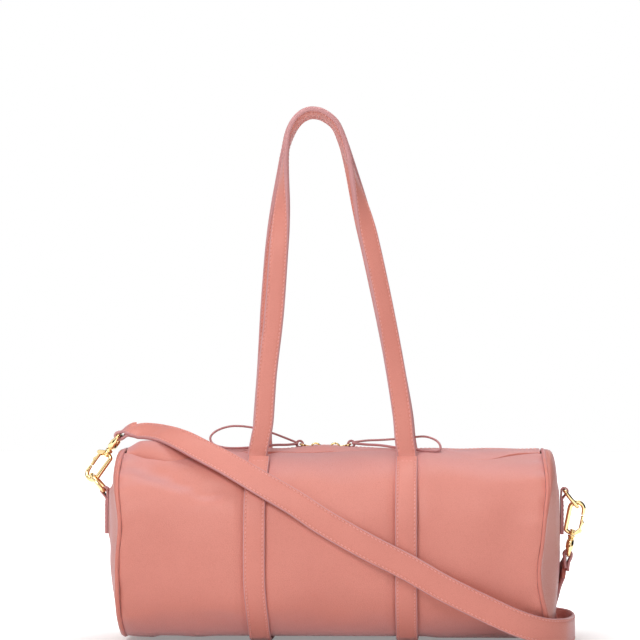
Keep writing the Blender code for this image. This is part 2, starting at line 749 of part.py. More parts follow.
def build_slider(name, side):
    """A zip slider: two plates joined by a post at the head, with a bail on top."""
    centre = (ZIP_MEETING_X + side * SLIDER_OFFSET, 0.0, TOOTH_CENTRE_Z)
    half = SLIDER_LENGTH / 2
    front, back, heel = [half * share for share in POST_SHOULDER_SHARES]
    post = [(-side * along, width) for along, width in
            ((half - GAP * 2, 0.0), (front, SLIDER_POST_HALF_WIDTH),
             (back, SLIDER_POST_HALF_WIDTH), (heel, 0.0),
             (back, -SLIDER_POST_HALF_WIDTH), (front, -SLIDER_POST_HALF_WIDTH))]
    body = flat_outline("zip_slider_" + name, [slider_outline(side, SLIDER_RIM, half)],
                        SLIDER_HALF_HEIGHT, gold("zip_slider_" + name), placed_at(centre))
    channel = flat_outline("slider_channel_" + name,
                           [slider_outline(side, 0.0, half + OVERRUN / 4), post],
                           SLIDER_CHANNEL_HALF, None, placed_at(centre))
    combine(body, channel, 'DIFFERENCE')
    wide = half + OVERRUN
    frame = [(-wide, -wide), (wide, -wide), (wide, wide), (-wide, wide)]
    slot = flat_outline("slider_slot_" + name, [frame, post], TAPE_THICKNESS / 2 + GAP, None,
                        placed_at(centre))
    combine(body, slot, 'DIFFERENCE')
    leg = (0.0, -BAIL_AXIS_HEIGHT - SLIDER_PLATE / 2)
    arch = [(BAIL_RADIUS, leg[1])] + arc((0.0, 0.0), BAIL_RADIUS, 0.0, math.pi)
    arch.append((-BAIL_RADIUS, leg[1]))
    path = [(x, 0.0, z) for x, z in arch]
    bail = tube("slider_bail_" + name, path, BAIL_WIRE, None,
                place=placed_at((centre[0], 0.0, BAIL_AXIS_Z)), sides=1)
    combine(body, bail, 'UNION')
    return body


def build_pull(name, side):
    """A pull that turns on the slider's bail, with an eye for the lace."""
    x = ZIP_MEETING_X + side * SLIDER_OFFSET
    base = placed_at((x, 0.0, BAIL_AXIS_Z))
    turn = Matrix.Rotation(0.0 if side > 0 else math.pi, 4, 'Z')
    place = base @ turn @ Matrix.Rotation(-PULL_TILT, 4, 'Y')
    slot_inner = BAIL_RADIUS - BAIL_WIRE - GAP * 1.5
    slot_outer = BAIL_RADIUS + BAIL_WIRE + GAP * 1.5
    slot_half = BAIL_WIRE + GAP
    eye_rim = PULL_EYE_RADIUS + PULL_EYE_RIM
    plate = [(PULL_INNER, -PULL_HALF_WIDTH), (slot_outer + PULL_EYE_RIM, -PULL_HALF_WIDTH)]
    plate += arc((PULL_EYE_DISTANCE, 0.0), eye_rim, -math.radians(110), math.radians(110))
    plate += [(slot_outer + PULL_EYE_RIM, PULL_HALF_WIDTH), (PULL_INNER, PULL_HALF_WIDTH)]
    slot = [(slot_inner, -slot_half), (slot_inner, slot_half), (slot_outer, slot_half),
            (slot_outer, -slot_half)]
    eye = arc((PULL_EYE_DISTANCE, 0.0), PULL_EYE_RADIUS, 0.0, 2 * math.pi)[:-1]
    pull = flat_outline("zip_pull_" + name, [plate, slot, eye], PULL_THICKNESS / 2,
                        gold("zip_pull_" + name), place)
    rim_centre = PULL_EYE_DISTANCE + PULL_EYE_RADIUS + PULL_EYE_RIM / 2
    ring = [(rim_centre + HITCH_RADIUS * math.cos(angle), 0.0, HITCH_RADIUS * math.sin(angle))
            for angle in [2 * math.pi * step / TURNED_STEPS for step in range(TURNED_STEPS)]]
    tube("lace_hitch_" + name, ring, HITCH_WIRE, leather("lace_hitch_" + name), closed=True,
         place=place)
    return pull


def build_laces():
    """The leather lace that hangs from each pull."""
    for name, route in (("left", LEFT_LACE_ROUTE), ("right", RIGHT_LACE_ROUTE)):
        points = spline_through(route, LACE_STEPS_PER_POINT)
        tube("lace_" + name, points, LACE_RADIUS, leather("lace_" + name),
             place=placed_at((0.0, 0.0, BODY_HEIGHT)))


def build_belts():
    """The belts sewn round the body, front to back under the bottom."""
    for name, side in SIDES:
        rows = []
        for angle in belt_angles():
            y, z = section_point(angle, GAP, BELT_LIFT)
            rows.append([(side * BELT_HALF_SPACING + offset, y, z)
                         for offset in (-BELT_WIDTH / 2, BELT_WIDTH / 2)])
        shell("belt_strap_" + name, rows, leather("belt_strap_" + name), BELT_THICKNESS, 1)


def handle_foot(face):
    """The (y, z) point of a handle's sewn foot, on its hinge line."""
    seat = GAP + HANDLE_THICKNESS / 2
    belt_end = section_point(BELT_TOP_ANGLE, seat, 0.0)
    nearby = section_point(BELT_TOP_ANGLE + FOOT_ANGLE_NUDGE, seat, 0.0)
    along = Vector((nearby[0] - belt_end[0], nearby[1] - belt_end[1])).normalized()
    distance = HANDLE_THICKNESS / 2 + FOOT_CLEARANCE
    y = belt_end[0] + along.x * distance
    return face * y, belt_end[1] + along.y * distance


def handle_lines(face):
    """Left and right edges of a handle, and its foot."""
    foot_y, foot_z = handle_foot(face)
    top_y = face * HANDLE_TOP_OFFSET
    nodes = []
    for across, up in HANDLE_ARCH_SHARES:
        lean = HANDLE_LEAN * smoothstep(up / LEAN_FULL_SHARE) if face > 0 else 0.0
        y = top_y + (foot_y - top_y) * (1.0 - up) ** HANDLE_BOW_POWER
        nodes.append((across * BELT_HALF_SPACING - lean, y, foot_z + up * HANDLE_RISE))
    points = spline_through(nodes, HANDLE_STEPS_PER_POINT)
    ways = tangents(points)
    lines = ([], [])
    for point, way in zip(points, ways):
        up = (point.z - foot_z) / HANDLE_RISE
        turn = math.pi / 2 * smoothstep((up - TWIST_START_SHARE)
                                        / (TWIST_END_SHARE - TWIST_START_SHARE))
        outward = Vector((-way.z, 0.0, way.x)).normalized()
        normal = outward * math.sin(turn) + Vector((0.0, face, 0.0)) * math.cos(turn)
        across = way.cross(normal).normalized() * (HANDLE_WIDTH / 2)
        for line, share in zip(lines, (-1.0, 1.0)):
            line.append(point + across * share)
    return lines, (0.0, foot_y, foot_z)


def build_handles():
    """The front and back handles, each hinged on the line through its two feet."""
    for name, face in FACES:
        lines, foot = handle_lines(face)
        rows = shifted(lines, foot)
        handle = shell("handle_" + name, rows, leather("handle_" + name), HANDLE_THICKNESS, 0,
                       placed_at(foot))
        for side_name, side in SIDES:
            place = placed_at((side * BELT_HALF_SPACING, foot[1], foot[2]))
            turn = Matrix.Rotation(math.pi / 2, 4, 'Y')
            cap = cylinder("foot_" + name + "_" + side_name, HANDLE_THICKNESS / 2, HANDLE_WIDTH,
                           place @ turn)
            combine(handle, cap, 'UNION')


def fold_outline(inner, leather_thickness, tail):
    """A keyhole outline: a strip's loop round a bar and its doubled tail along -X."""
    outer = inner + leather_thickness
    loop = arc((0.0, 0.0), outer, -math.pi / 2, math.pi / 2 + FOLD_WRAP)
    neck, throat = outer * FOLD_NECK_SHARE, outer * FOLD_THROAT_SHARE
    return loop + [(-neck, 0.0), (-tail, 0.0), (-tail, -leather_thickness),
                   (-neck, -leather_thickness), (-throat, -throat)]


def ring_bar(side):
    """Centre of a D-ring's straight bar, in the fold of its tab."""
    top = (HALF_LENGTH + END_REACH + GAP + TAB_LEATHER * 2)
    return Vector((side * (top + RING_WIRE * 0.6), 0.0, TAB_TOP))


def end_surface(z):
    """How far out the end panel stands on its middle line at a height."""
    half = UPPER_HALF if z > SECTION_CENTRE_Z else LOWER_HALF
    share = min(abs(z - SECTION_CENTRE_Z) / half, 1.0)
    return HALF_LENGTH + SEAM_SETBACK + dome_x(share, END_REACH - SEAM_SETBACK)


def build_tab(name, side):
    """A doubled leather tab sewn to the end panel, folded over the ring's bar."""
    bar = ring_bar(side)
    inner = RING_WIRE + GAP
    outer = inner + TAB_LEATHER
    bar_out = side * bar.x
    seat = [(end_surface(z) + GAP, z) for z in
            (TAB_BOTTOM, (TAB_BOTTOM + TAB_TOP) / 2, TAB_TOP - outer)]
    doubled = TAB_LEATHER * 2
    outline = seat + arc((bar_out, TAB_TOP), outer, math.pi, 0.0)
    outline += [(bar_out + outer * 0.9, TAB_TOP - outer * 0.6),
                (seat[2][0] + doubled * 1.2, TAB_TOP - outer * 1.7),
                (seat[1][0] + doubled, seat[1][1]), (seat[0][0] + doubled, seat[0][1])]
    hole = arc((bar_out, TAB_TOP), inner, 0.0, 2 * math.pi)[:-1]
    outline = [(side * x - bar.x, z - bar.z) for x, z in outline]
    hole = [(side * x - bar.x, z - bar.z) for x, z in hole]
    place = placed_at(bar) @ Matrix.Rotation(math.pi / 2, 4, 'X')
    flat_outline("ring_tab_" + name, [outline, hole], TAB_WIDTH / 2,
                 leather("ring_tab_" + name), place)


def ring_path():
    """A D outline in the local XY plane: straight bar along Y, bow out along +X."""
    half = RING_INNER_WIDTH / 2 + RING_WIRE
    corner = RING_WIRE * 1.5
    bow = RING_DEPTH - half
    points = [(0.0, -half + corner)]
    points += arc((corner, -half + corner), corner, math.pi, 1.5 * math.pi, CORNER_STEPS)
    points += arc((bow, 0.0), half, -math.pi / 2, math.pi / 2)
    points += arc((corner, half - corner), corner, math.pi / 2, math.pi, CORNER_STEPS)
    points.append((0.0, half - corner))
    clean = []
    for point in points:
        if not clean or math.dist(point, clean[-1]) > GAP / 3:
            clean.append(point)
    return [(x, y, 0.0) for x, y in clean]


def build_ring(name, side, angle):
    """A D-ring turned about its bar; the angle is measured from +X up to its bow."""
    place = placed_at(ring_bar(side)) @ Matrix.Rotation(-angle, 4, 'Y')
    tube("d_ring_" + name, ring_path(), RING_WIRE, gold("d_ring_" + name), closed=True,
         place=place)


def hook_frame(side, ring_angle, tilt, swivel):
    """Matrix of a snap hook: local +X along the hook to its nose, +Y across, +Z its gate side.

    The ring's bow lies in the hook's bend.
    """
    reach = RING_DEPTH
    bow = ring_bar(side) + Vector((math.cos(ring_angle), 0.0, math.sin(ring_angle))) * reach
    along = Vector((math.cos(tilt), 0.0, math.sin(tilt)))
    gate_way = Vector((along.z, 0.0, -along.x))
    across = gate_way.cross(along)
    seat = HOOK_LENGTH - HOOK_WIRE - RING_WIRE - GAP
    origin = bow - along * seat
    frame = Matrix((along, across, gate_way)).transposed().to_4x4()
    frame.translation = origin
    return frame @ Matrix.Rotation(swivel, 4, 'X')


def hook_points():
    """Centre line of the hook's wire in (along, gate side), with its width shares."""
    half = HOOK_HALF_WIDTH
    bend = HOOK_LENGTH - half
    points = [(HOOK_COLLAR_HEIGHT / 2, -HOOK_COLLAR_RADIUS * 0.6),
              (HOOK_COLLAR_HEIGHT, -half * 0.98), (half, -half), (bend * 0.6, -half)]
    points += arc((bend, 0.0), half, -math.pi / 2, math.pi / 2)
    points.append((GATE_END_HEIGHT + HOOK_WIRE * 0.7, half))
    radii = [0.7, 0.9, 1.0, 1.0] + [1.0] * ARC_STEPS + [0.95, 0.8]
    return [(x, 0.0, z) for x, z in points], radii


def build_hook(name, frame):
    """A swivel snap hook: wire body on a collar, with two lugs for the gate's pin."""
    points, radii = hook_points()
    body = tube("hook_body_" + name, points, HOOK_WIRE, gold("hook_body_" + name), radii=radii,
                place=frame)
    along_x = Matrix.Rotation(math.pi / 2, 4, 'Y')
    middle = placed_at((HOOK_COLLAR_HEIGHT / 2, 0.0, 0.0))
    collar = cylinder("hook_collar_" + name, HOOK_COLLAR_RADIUS, HOOK_COLLAR_HEIGHT,
                      frame @ middle @ along_x)
    combine(body, collar, 'UNION')
    lug_middle = (GATE_THICKNESS + LUG_THICKNESS) / 2 + GAP
    stem = HOOK_COLLAR_RADIUS * 0.45
    lug = [(HOOK_COLLAR_HEIGHT * 0.3, stem), (HOOK_COLLAR_HEIGHT * 0.9, stem)]
    lug += arc((GATE_PIVOT_HEIGHT, HOOK_HALF_WIDTH), LUG_RADIUS, *LUG_ARC)
    lug.append((HOOK_COLLAR_HEIGHT * 0.3, HOOK_COLLAR_RADIUS * 0.9))
    flat = Matrix.Rotation(math.pi / 2, 4, 'X')
    for order, way in (("near", -1.0), ("far", 1.0)):
        ear = flat_outline("hook_lug_" + order + "_" + name, [lug], LUG_THICKNESS / 2, None,
                           frame @ placed_at((0.0, way * lug_middle, 0.0)) @ flat)
        combine(body, ear, 'UNION')
    pin_place = placed_at((GATE_PIVOT_HEIGHT, 0.0, HOOK_HALF_WIDTH)) @ flat
    pin_length = GATE_THICKNESS + LUG_THICKNESS * 2 + GAP * 3
    pin_hole = cylinder("hook_pin_hole_" + name, PIN_RADIUS + GAP, pin_length + OVERRUN,
                        frame @ pin_place)
    combine(body, pin_hole, 'DIFFERENCE')
    bore = cylinder("hook_bore_" + name, POST_RADIUS + GAP, HOOK_COLLAR_HEIGHT + OVERRUN / 2,
                    frame @ middle @ along_x)
    combine(body, bore, 'DIFFERENCE')
    cylinder("gate_pin_" + name, PIN_RADIUS, pin_length, frame @ pin_place, None,
             gold("gate_pin_" + name))


def build_gate(name, frame):
    """The sprung gate between the lugs; its origin is on the pin."""
    length = GATE_END_HEIGHT - GATE_PIVOT_HEIGHT
    half = GATE_HALF_DEPTH
    outline = arc((0.0, 0.0), half * 1.5, math.radians(90.0), math.radians(300.0))
    outline += [(length * 0.25, -half), (length - half * 0.8, -half), (length, half),
                (length * 0.78, half), (length * 0.62, half + GATE_THUMB),
                (length * 0.42, half + GATE_THUMB), (length * 0.24, half)]
    hole = arc((0.0, 0.0), PIN_RADIUS + GAP, 0.0, 2 * math.pi)[:-1]
    place = placed_at((GATE_PIVOT_HEIGHT, 0.0, HOOK_HALF_WIDTH))
    flat_outline("hook_gate_" + name, [outline, hole], GATE_THICKNESS / 2,
                 gold("hook_gate_" + name), frame @ place @ Matrix.Rotation(math.pi / 2, 4, 'X'))


def build_eye(name, frame):
    """The strap's eye with the headed post that the hook turns on."""
    head_low = HOOK_COLLAR_HEIGHT + GAP
    head_high = head_low + POST_HEAD_HEIGHT
    flange_low = -GAP - POST_FLANGE_HEIGHT
    neck = flange_low - EYE_WIRE * 1.5
    profile = [(0.0, head_high), (POST_HEAD_RADIUS * 0.6, head_high),
               (POST_HEAD_RADIUS, head_low + POST_HEAD_HEIGHT / 2), (POST_HEAD_RADIUS, head_low),
               (POST_RADIUS, head_low), (POST_RADIUS, -GAP), (POST_FLANGE_RADIUS, -GAP),
               (POST_FLANGE_RADIUS, flange_low), (POST_RADIUS, neck), (0.0, neck)]
    along_x = Matrix.Rotation(math.pi / 2, 4, 'Y')
    eye = turned("strap_eye_" + name, profile, gold("strap_eye_" + name), frame @ along_x)
    half = STRAP_WIDTH / 2 + EYE_WIRE + GAP * 2
    top = neck + EYE_WIRE * 0.6
    bar = -EYE_REACH
    corner = EYE_WIRE * 1.4
    path = [(top, 0.0)]
    path += [(top - EYE_WIRE * 0.3, half * 0.35), (top - EYE_WIRE * 1.2, half * 0.8)]
    path += arc((bar + corner, half - corner), corner, math.pi / 2, math.pi, CORNER_STEPS)
    path += [(x, -y) for x, y in reversed(path[1:])]
    loop = tube("eye_loop_" + name, [(x, y, 0.0) for x, y in path], EYE_WIRE, None, closed=True,
                place=frame, sides=1)
    combine(eye, loop, 'UNION')


def build_fold(name, frame, tail_bend):
    """The strap's end, folded round the eye's bar; its tail bends away from the hook's line."""
    inner = EYE_WIRE + GAP
    outline = fold_outline(inner, FOLD_LEATHER, FOLD_TAIL)
    hole = arc((0.0, 0.0), inner, 0.0, 2 * math.pi)[:-1]
    bar = frame @ placed_at((-EYE_REACH, 0.0, 0.0))
    place = bar @ Matrix.Rotation(-tail_bend, 4, 'Y') @ Matrix.Rotation(-math.pi / 2, 4, 'X')
    flat_outline("strap_fold_" + name, [outline, hole], STRAP_WIDTH / 2,
                 leather("strap_fold_" + name), place)


def strap_lines():
    """The two edges of the crossbody strap, and its length along the middle."""
    places = spline_through([place for place, _ in STRAP_ROUTE], STRAP_STEPS_PER_POINT)
    facings = spline_through([facing for _, facing in STRAP_ROUTE], STRAP_STEPS_PER_POINT)
    lines = ([], [])
    for point, way, facing in zip(places, tangents(places), facings):
        across = way.cross(facing).normalized() * (STRAP_WIDTH / 2)
        for line, share in zip(lines, (-1.0, 1.0)):
            line.append(point + across * share)
    length = sum((after - before).length for before, after in zip(places, places[1:]))
    return lines, length


def build_strap():
    """The long strap, clipped at both ends, round the front and looped behind the bag."""
    lines, length = strap_lines()
    print("crossbody strap length", round(length, 4))
    shell("crossbody_strap", lines, leather("crossbody_strap"), STRAP_THICKNESS, 0)


def build_clasp(name, side, ring_angle, tilt, swivel, tail_bend):
    """Everything from the end panel's tab to the strap's folded end."""
    build_tab(name, side)
    build_ring(name, side, ring_angle)
    hook = hook_frame(side, ring_angle, tilt, swivel)
    build_hook(name, hook)
    build_gate(name, hook)
    eye = hook_frame(side, ring_angle, tilt, 0.0)
    build_eye(name, eye)
    build_fold(name, eye, tail_bend)


def build_bag():
    """Build every piece."""
    build_barrel()
    build_barrel_lining()
    build_ends()
    build_piping()
    build_zip_bands()
    build_zip_tapes()
    build_zip_teeth()
    for name, side in SIDES:
        build_slider(name, side)
        build_pull(name, side)
    build_laces()
    build_belts()
    build_handles()
    build_clasp("left", -1.0, LEFT_RING_ANGLE, LEFT_HOOK_TILT, LEFT_HOOK_SWIVEL, LEFT_TAIL_BEND)
    build_clasp("right", 1.0, RIGHT_RING_ANGLE, RIGHT_HOOK_TILT, RIGHT_HOOK_SWIVEL,
                RIGHT_TAIL_BEND)
    build_strap()


build_bag()
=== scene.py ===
"""Looks of a mini duffel bag in grained leather with gold hardware.

The bag's left end is at -X and its front faces -Y. Every new piece is a surface worked out on
a grid of two parameters, or a profile carried along a path, in metres in the row frame.
"""

import logging
import math
from dataclasses import dataclass, field
from enum import Enum
from functools import reduce

import bmesh
import bpy
import numpy as np
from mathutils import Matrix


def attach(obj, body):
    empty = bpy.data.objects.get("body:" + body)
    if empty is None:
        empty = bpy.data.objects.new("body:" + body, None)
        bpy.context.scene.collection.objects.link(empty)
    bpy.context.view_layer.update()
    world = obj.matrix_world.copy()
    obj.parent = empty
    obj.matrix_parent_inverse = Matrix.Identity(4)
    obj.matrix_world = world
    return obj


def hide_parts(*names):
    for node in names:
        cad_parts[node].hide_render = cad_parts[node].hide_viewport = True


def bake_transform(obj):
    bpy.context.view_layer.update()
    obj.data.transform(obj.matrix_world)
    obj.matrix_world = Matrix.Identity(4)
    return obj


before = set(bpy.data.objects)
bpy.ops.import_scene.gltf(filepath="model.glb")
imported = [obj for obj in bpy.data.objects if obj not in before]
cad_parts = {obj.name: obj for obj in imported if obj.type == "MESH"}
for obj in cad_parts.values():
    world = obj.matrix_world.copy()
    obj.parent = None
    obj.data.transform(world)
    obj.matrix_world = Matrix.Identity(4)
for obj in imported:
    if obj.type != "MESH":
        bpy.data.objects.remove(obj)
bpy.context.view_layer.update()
LOG = logging.getLogger("mini_duffel")

Array = np.ndarray
ROOT = "bag"
GAP = 0.0003
BUMP_DISTANCE = 0.0002
X_AXIS, Y_AXIS, Z_AXIS = np.eye(3)
# These carry a turned piece's local Z along the hook and across it.
LATHE_ALONG = np.array([[0, 0, 1, 0], [0, 1, 0, 0], [-1, 0, 0, 0], [0, 0, 0, 1]], float)
LATHE_ACROSS = np.array([[1, 0, 0, 0], [0, 0, -1, 0], [0, 1, 0, 0], [0, 0, 0, 1]], float)


class Side(Enum):
    """An end of the bag, with its sign along X."""

    LEFT = -1.0
    RIGHT = 1.0

    @property
    def word(self) -> str:
        """The end's name in lower case."""
        return self.name.lower()


class Face(Enum):
    """The front or back of the bag, with its sign along Y."""

    FRONT = -1.0
    BACK = 1.0

    @property
    def word(self) -> str:
        """The face's name in lower case."""
        return self.name.lower()


# ---------------------------------------------------------------- curves and grids


def ease(value: Array) -> Array:
    """Cubic step from 0 to 1: t squared times (3 - 2t), with t held between 0 and 1.

    Args:
        value: Any array.

    Returns:
        The eased array.
    """
    held = np.clip(value, 0.0, 1.0)
    return held * held * (3.0 - 2.0 * held)


def unit(vectors: Array) -> Array:
    """Vectors scaled to length 1.

    Args:
        vectors: Array whose last axis holds the vectors.

    Returns:
        The unit vectors.
    """
    return vectors / np.maximum(np.linalg.norm(vectors, axis=-1, keepdims=True), 1e-12)


def spline_points(route: Array, steps: int) -> Array:
    """Catmull-Rom curve: half of (2b + (c-a)t + (2a-5b+4c-d)tt + (3b-a-3c+d)ttt) in each span.

    Args:
        route: Control points, one per row.
        steps: Samples in each span.

    Returns:
        Points along the curve, both ends included.
    """
    route = np.asarray(route, float)
    padded = np.vstack([2 * route[0] - route[1], route, 2 * route[-1] - route[-2]])
    t = np.arange(steps)[:, None] / steps
    a, b, c, d = (padded[k:len(padded) - 3 + k, None, :] for k in range(4))
    run = 0.5 * (2 * b + (c - a) * t + (2 * a - 5 * b + 4 * c - d) * t ** 2
                 + (3 * b - a - 3 * c + d) * t ** 3)
    return np.vstack([run.reshape(-1, route.shape[1]), route[-1:]])


def directions(path: Array, closed: bool = False) -> Array:
    """Unit tangents from central differences along a path.

    Args:
        path: Points, one per row.
        closed: Whether the path joins its own start.

    Returns:
        One unit vector per point.
    """
    if closed:
        return unit(np.roll(path, -1, axis=0) - np.roll(path, 1, axis=0))
    return unit(np.gradient(path, axis=0))


def full_turn(steps: int) -> Array:
    """Angles of a whole turn in equal steps, the end left out."""
    return 2 * math.pi * np.arange(steps) / steps


def run_lengths(path: Array) -> Array:
    """Distance along a path up to each point: the running sum of its chords.

    Args:
        path: Points, one per row.

    Returns:
        One length per point, starting at 0.
    """
    return np.concatenate([[0.0], np.cumsum(np.linalg.norm(np.diff(path, axis=0), axis=1))])


def evenly(path: Array, others: tuple[Array, ...], spacing: float) -> tuple[Array, ...]:
    """A path and arrays that go with it, resampled at equal distances by linear interpolation.

    Args:
        path: Points, one per row.
        others: Arrays with one row per point.
        spacing: Wanted distance between samples.

    Returns:
        The resampled path, then the resampled arrays.
    """
    lengths = run_lengths(path)
    count = max(int(round(lengths[-1] / spacing)), 1)
    at = np.linspace(0.0, lengths[-1], count + 1)
    return tuple(np.stack([np.interp(at, lengths, column) for column in array.T], axis=1)
                 for array in (path, *others))


def arc_points(centre: tuple[float, float], radius: float, start: float, end: float,
               steps: int) -> Array:
    """Points on an arc: the centre plus radius times (cosine, sine) of the angle.

    Args:
        centre: Centre in the plane.
        radius: Arc radius.
        start: First angle in radians.
        end: Last angle in radians.
        steps: Spans between them.

    Returns:
        Points in the plane, both ends included.
    """
    angles = np.linspace(start, end, steps + 1)
    return np.stack([centre[0] + radius * np.cos(angles),
                     centre[1] + radius * np.sin(angles)], axis=1)


@dataclass
class Patch:
    """Vertices and faces of a surface; faces are arrays of equal-sided polygons by material."""

    points: Array
    faces: list[tuple[Array, int]] = field(default_factory=list)

    def joined(self, other: "Patch") -> "Patch":
        """This patch and another as one.

        Args:
            other: The patch to add.

        Returns:
            A new patch with both.
        """
        shift = len(self.points)
        moved = [(faces + shift, slot) for faces, slot in other.faces]
        return Patch(np.vstack([self.points, other.points]), self.faces + moved)

    def placed(self, place: Array) -> "Patch":
        """The patch carried by a 4x4 matrix: each point times the matrix.

        Args:
            place: The matrix.

        Returns:
            The carried patch.
        """
        return Patch(self.points @ place[:3, :3].T + place[:3, 3], self.faces)


def merged(patches: list[Patch]) -> Patch:
    """Several patches as one, in their order."""
    return reduce(Patch.joined, patches)


def quads(rows: int, cols: int, wrap: bool = False, loop: bool = False) -> Array:
    """Corner indices of a grid's quads, row i and column j being point i * cols + j.

    Args:
        rows: Number of rows.
        cols: Number of columns.
        wrap: Whether the last column joins the first.
        loop: Whether the last row joins the first.

    Returns:
        One row of four indices per quad.
    """
    index = np.arange(rows * cols).reshape(rows, cols)
    if loop:
        index = np.vstack([index, index[:1]])
    after = np.roll(index, -1, axis=1)
    last = cols if wrap else cols - 1
    corners = [index[:-1, :last], index[1:, :last], after[1:, :last], after[:-1, :last]]
    return np.stack([corner.ravel() for corner in corners], axis=1)


def end_caps(rows: int, cols: int) -> Array:
    """The polygons that close a grid's first row and, turned round, its last one."""
    index = np.arange(rows * cols).reshape(rows, cols)
    return np.stack([index[0], index[-1, ::-1]])


def copies(points: Array, rows: int, cols: int) -> Patch:
    """Many copies of one small tube, capped at both ends, as one patch.

    Args:
        points: The copies, each with rows times cols points.
        rows: Rings of the tube.
        cols: Points round each ring.

    Returns:
        All the copies.
    """
    shifts = (np.arange(len(points)) * rows * cols)[:, None, None]
    sheets, caps = quads(rows, cols, True) + shifts, end_caps(rows, cols) + shifts
    return Patch(points.reshape(-1, 3), [(sheets.reshape(-1, 4), 0), (caps.reshape(-1, cols), 0)])


def walled(outer: Array, inner: Array, wrap: bool = False) -> Patch:
    """A closed wall between two grids of the same size: both sheets and strips on their rims.

    Args:
        outer: Grid of points, rows by columns by 3.
        inner: The same on the wall's other side.
        wrap: Whether the last column joins the first.

    Returns:
        The wall.
    """
    rows, cols = outer.shape[:2]
    count = rows * cols
    sheet = quads(rows, cols, wrap)
    faces = [sheet, sheet[:, ::-1] + count]
    index = np.arange(count).reshape(rows, cols)
    lines = [(index[0], wrap), (index[-1, ::-1], wrap)]
    if not wrap:
        lines += [(index[::-1, 0], False), (index[:, -1], False)]
    for line, closed in lines:
        following = np.roll(line, -1)
        keep = slice(None) if closed else slice(0, -1)
        faces.append(np.stack([line, following, following + count, line + count],
                              axis=1)[keep])
    points = np.vstack([outer.reshape(-1, 3), inner.reshape(-1, 3)])
    return Patch(points, [(np.vstack(faces), 0)])


def swept(profile: Array, centre: Array, across: Array, out: Array, closed: bool = False,
          slots: Array | None = None) -> Patch:
    """A closed profile carried along a path: centre + u times across + v times out.

    Args:
        profile: Points (u, v) round the section; or one such profile per path point.
        centre: Path points.
        across: Unit vectors for u.
        out: Unit vectors for v.
        closed: Whether the path joins its own start.
        slots: Material slot of the span after each profile point.

    Returns:
        The swept solid, capped where the path is open.
    """
    profile = np.broadcast_to(profile, (len(centre), *profile.shape[-2:]))
    grid = (centre[:, None] + profile[..., :1] * across[:, None]
            + profile[..., 1:] * out[:, None])
    rows, cols = grid.shape[:2]
    sheet = quads(rows, cols, True, closed)
    if slots is None:
        faces = [(sheet, 0)]
    else:
        chosen = np.tile(slots, len(sheet) // cols)
        faces = [(sheet[chosen == slot], int(slot)) for slot in np.unique(chosen)]
    if not closed:
        faces.append((end_caps(rows, cols), 0))
    return Patch(grid.reshape(-1, 3), faces)


def rounded(width: float, height: float, corner: float, steps: int = 4) -> Array:
    """Outline of a rectangle with round corners, anticlockwise.

    Args:
        width: Full width.
        height: Full height.
        corner: Corner radius.
        steps: Spans in each corner.

    Returns:
        Points in the plane.
    """
    x, y = width / 2 - corner, height / 2 - corner
    parts = [arc_points((x, y), corner, 0.0, math.pi / 2, steps),
             arc_points((-x, y), corner, math.pi / 2, math.pi, steps),
             arc_points((-x, -y), corner, math.pi, 1.5 * math.pi, steps),
             arc_points((x, -y), corner, 1.5 * math.pi, 2 * math.pi, steps)]
    return np.vstack(parts)


def circle(radius: float, sides: int = 14, squash: float = 1.0) -> Array:
    """Points round a circle, the second axis scaled by squash."""
    angles = full_turn(sides)
    return np.stack([radius * np.cos(angles), radius * squash * np.sin(angles)], axis=1)


def steady_frame(path: Array, closed: bool = False) -> tuple[Array, Array]:
    """Across and out vectors that turn as little as they can along a path.

    Each vector is the last one less its share along the new tangent. The closed paths here are
    flat or nearly so, and leave next to no twist at their seam.

    Args:
        path: Points, one per row.
        closed: Whether the path joins its own start.

    Returns:
        Unit vectors across and out.
    """
    ways = directions(path, closed)
    across = np.empty_like(path)
    current = np.eye(3)[np.argmin(np.abs(ways[0]))]
    for index, way in enumerate(ways):
        current = current - way * (current @ way)
        current = current / np.linalg.norm(current)
        across[index] = current
    return across, np.cross(ways, across)


def inset_outline(outline: Array, distance: float) -> Array:
    """An anticlockwise outline moved inwards along its normals by a distance.

    Args:
        outline: Points in the plane.
        distance: How far inwards; negative is outwards.

    Returns:
        The moved outline.
    """
    way = directions(outline, closed=True)
    inward = np.stack([-way[:, 1], way[:, 0]], axis=1)
    return outline + inward * distance


def stacked(loops: list[tuple[Array, float]]) -> Array:
    """Plane outlines at their heights, as a grid with one outline in each row."""
    return np.stack([np.column_stack([points, np.full(len(points), height)])
                     for points, height in loops])


def plate(outline: Array, low: float, high: float, bevel: float, crown: float = 0.0) -> Patch:
    """A flat plate with eased edges: the outline at four heights, inset at both faces.

    Args:
        outline: Anticlockwise points in the plane.
        low: Height of the lower face.
        high: Height of the upper face.
        bevel: Size of the eased edge.
        crown: Rise of the upper face's middle.

    Returns:
        The plate, in local axes.
    """
    middle = outline.mean(axis=0)
    levels = [(outline * 0.4 + middle * 0.6, low), (inset_outline(outline, bevel), low),
              (outline, low + bevel), (outline, high - bevel),
              (inset_outline(outline, bevel), high),
              (outline * 0.4 + middle * 0.6, high + crown)]
    grid = stacked(levels)
    rows, cols = grid.shape[:2]
    faces = [(quads(rows, cols, True), 0), (end_caps(rows, cols), 0)]
    return Patch(grid.reshape(-1, 3), faces)


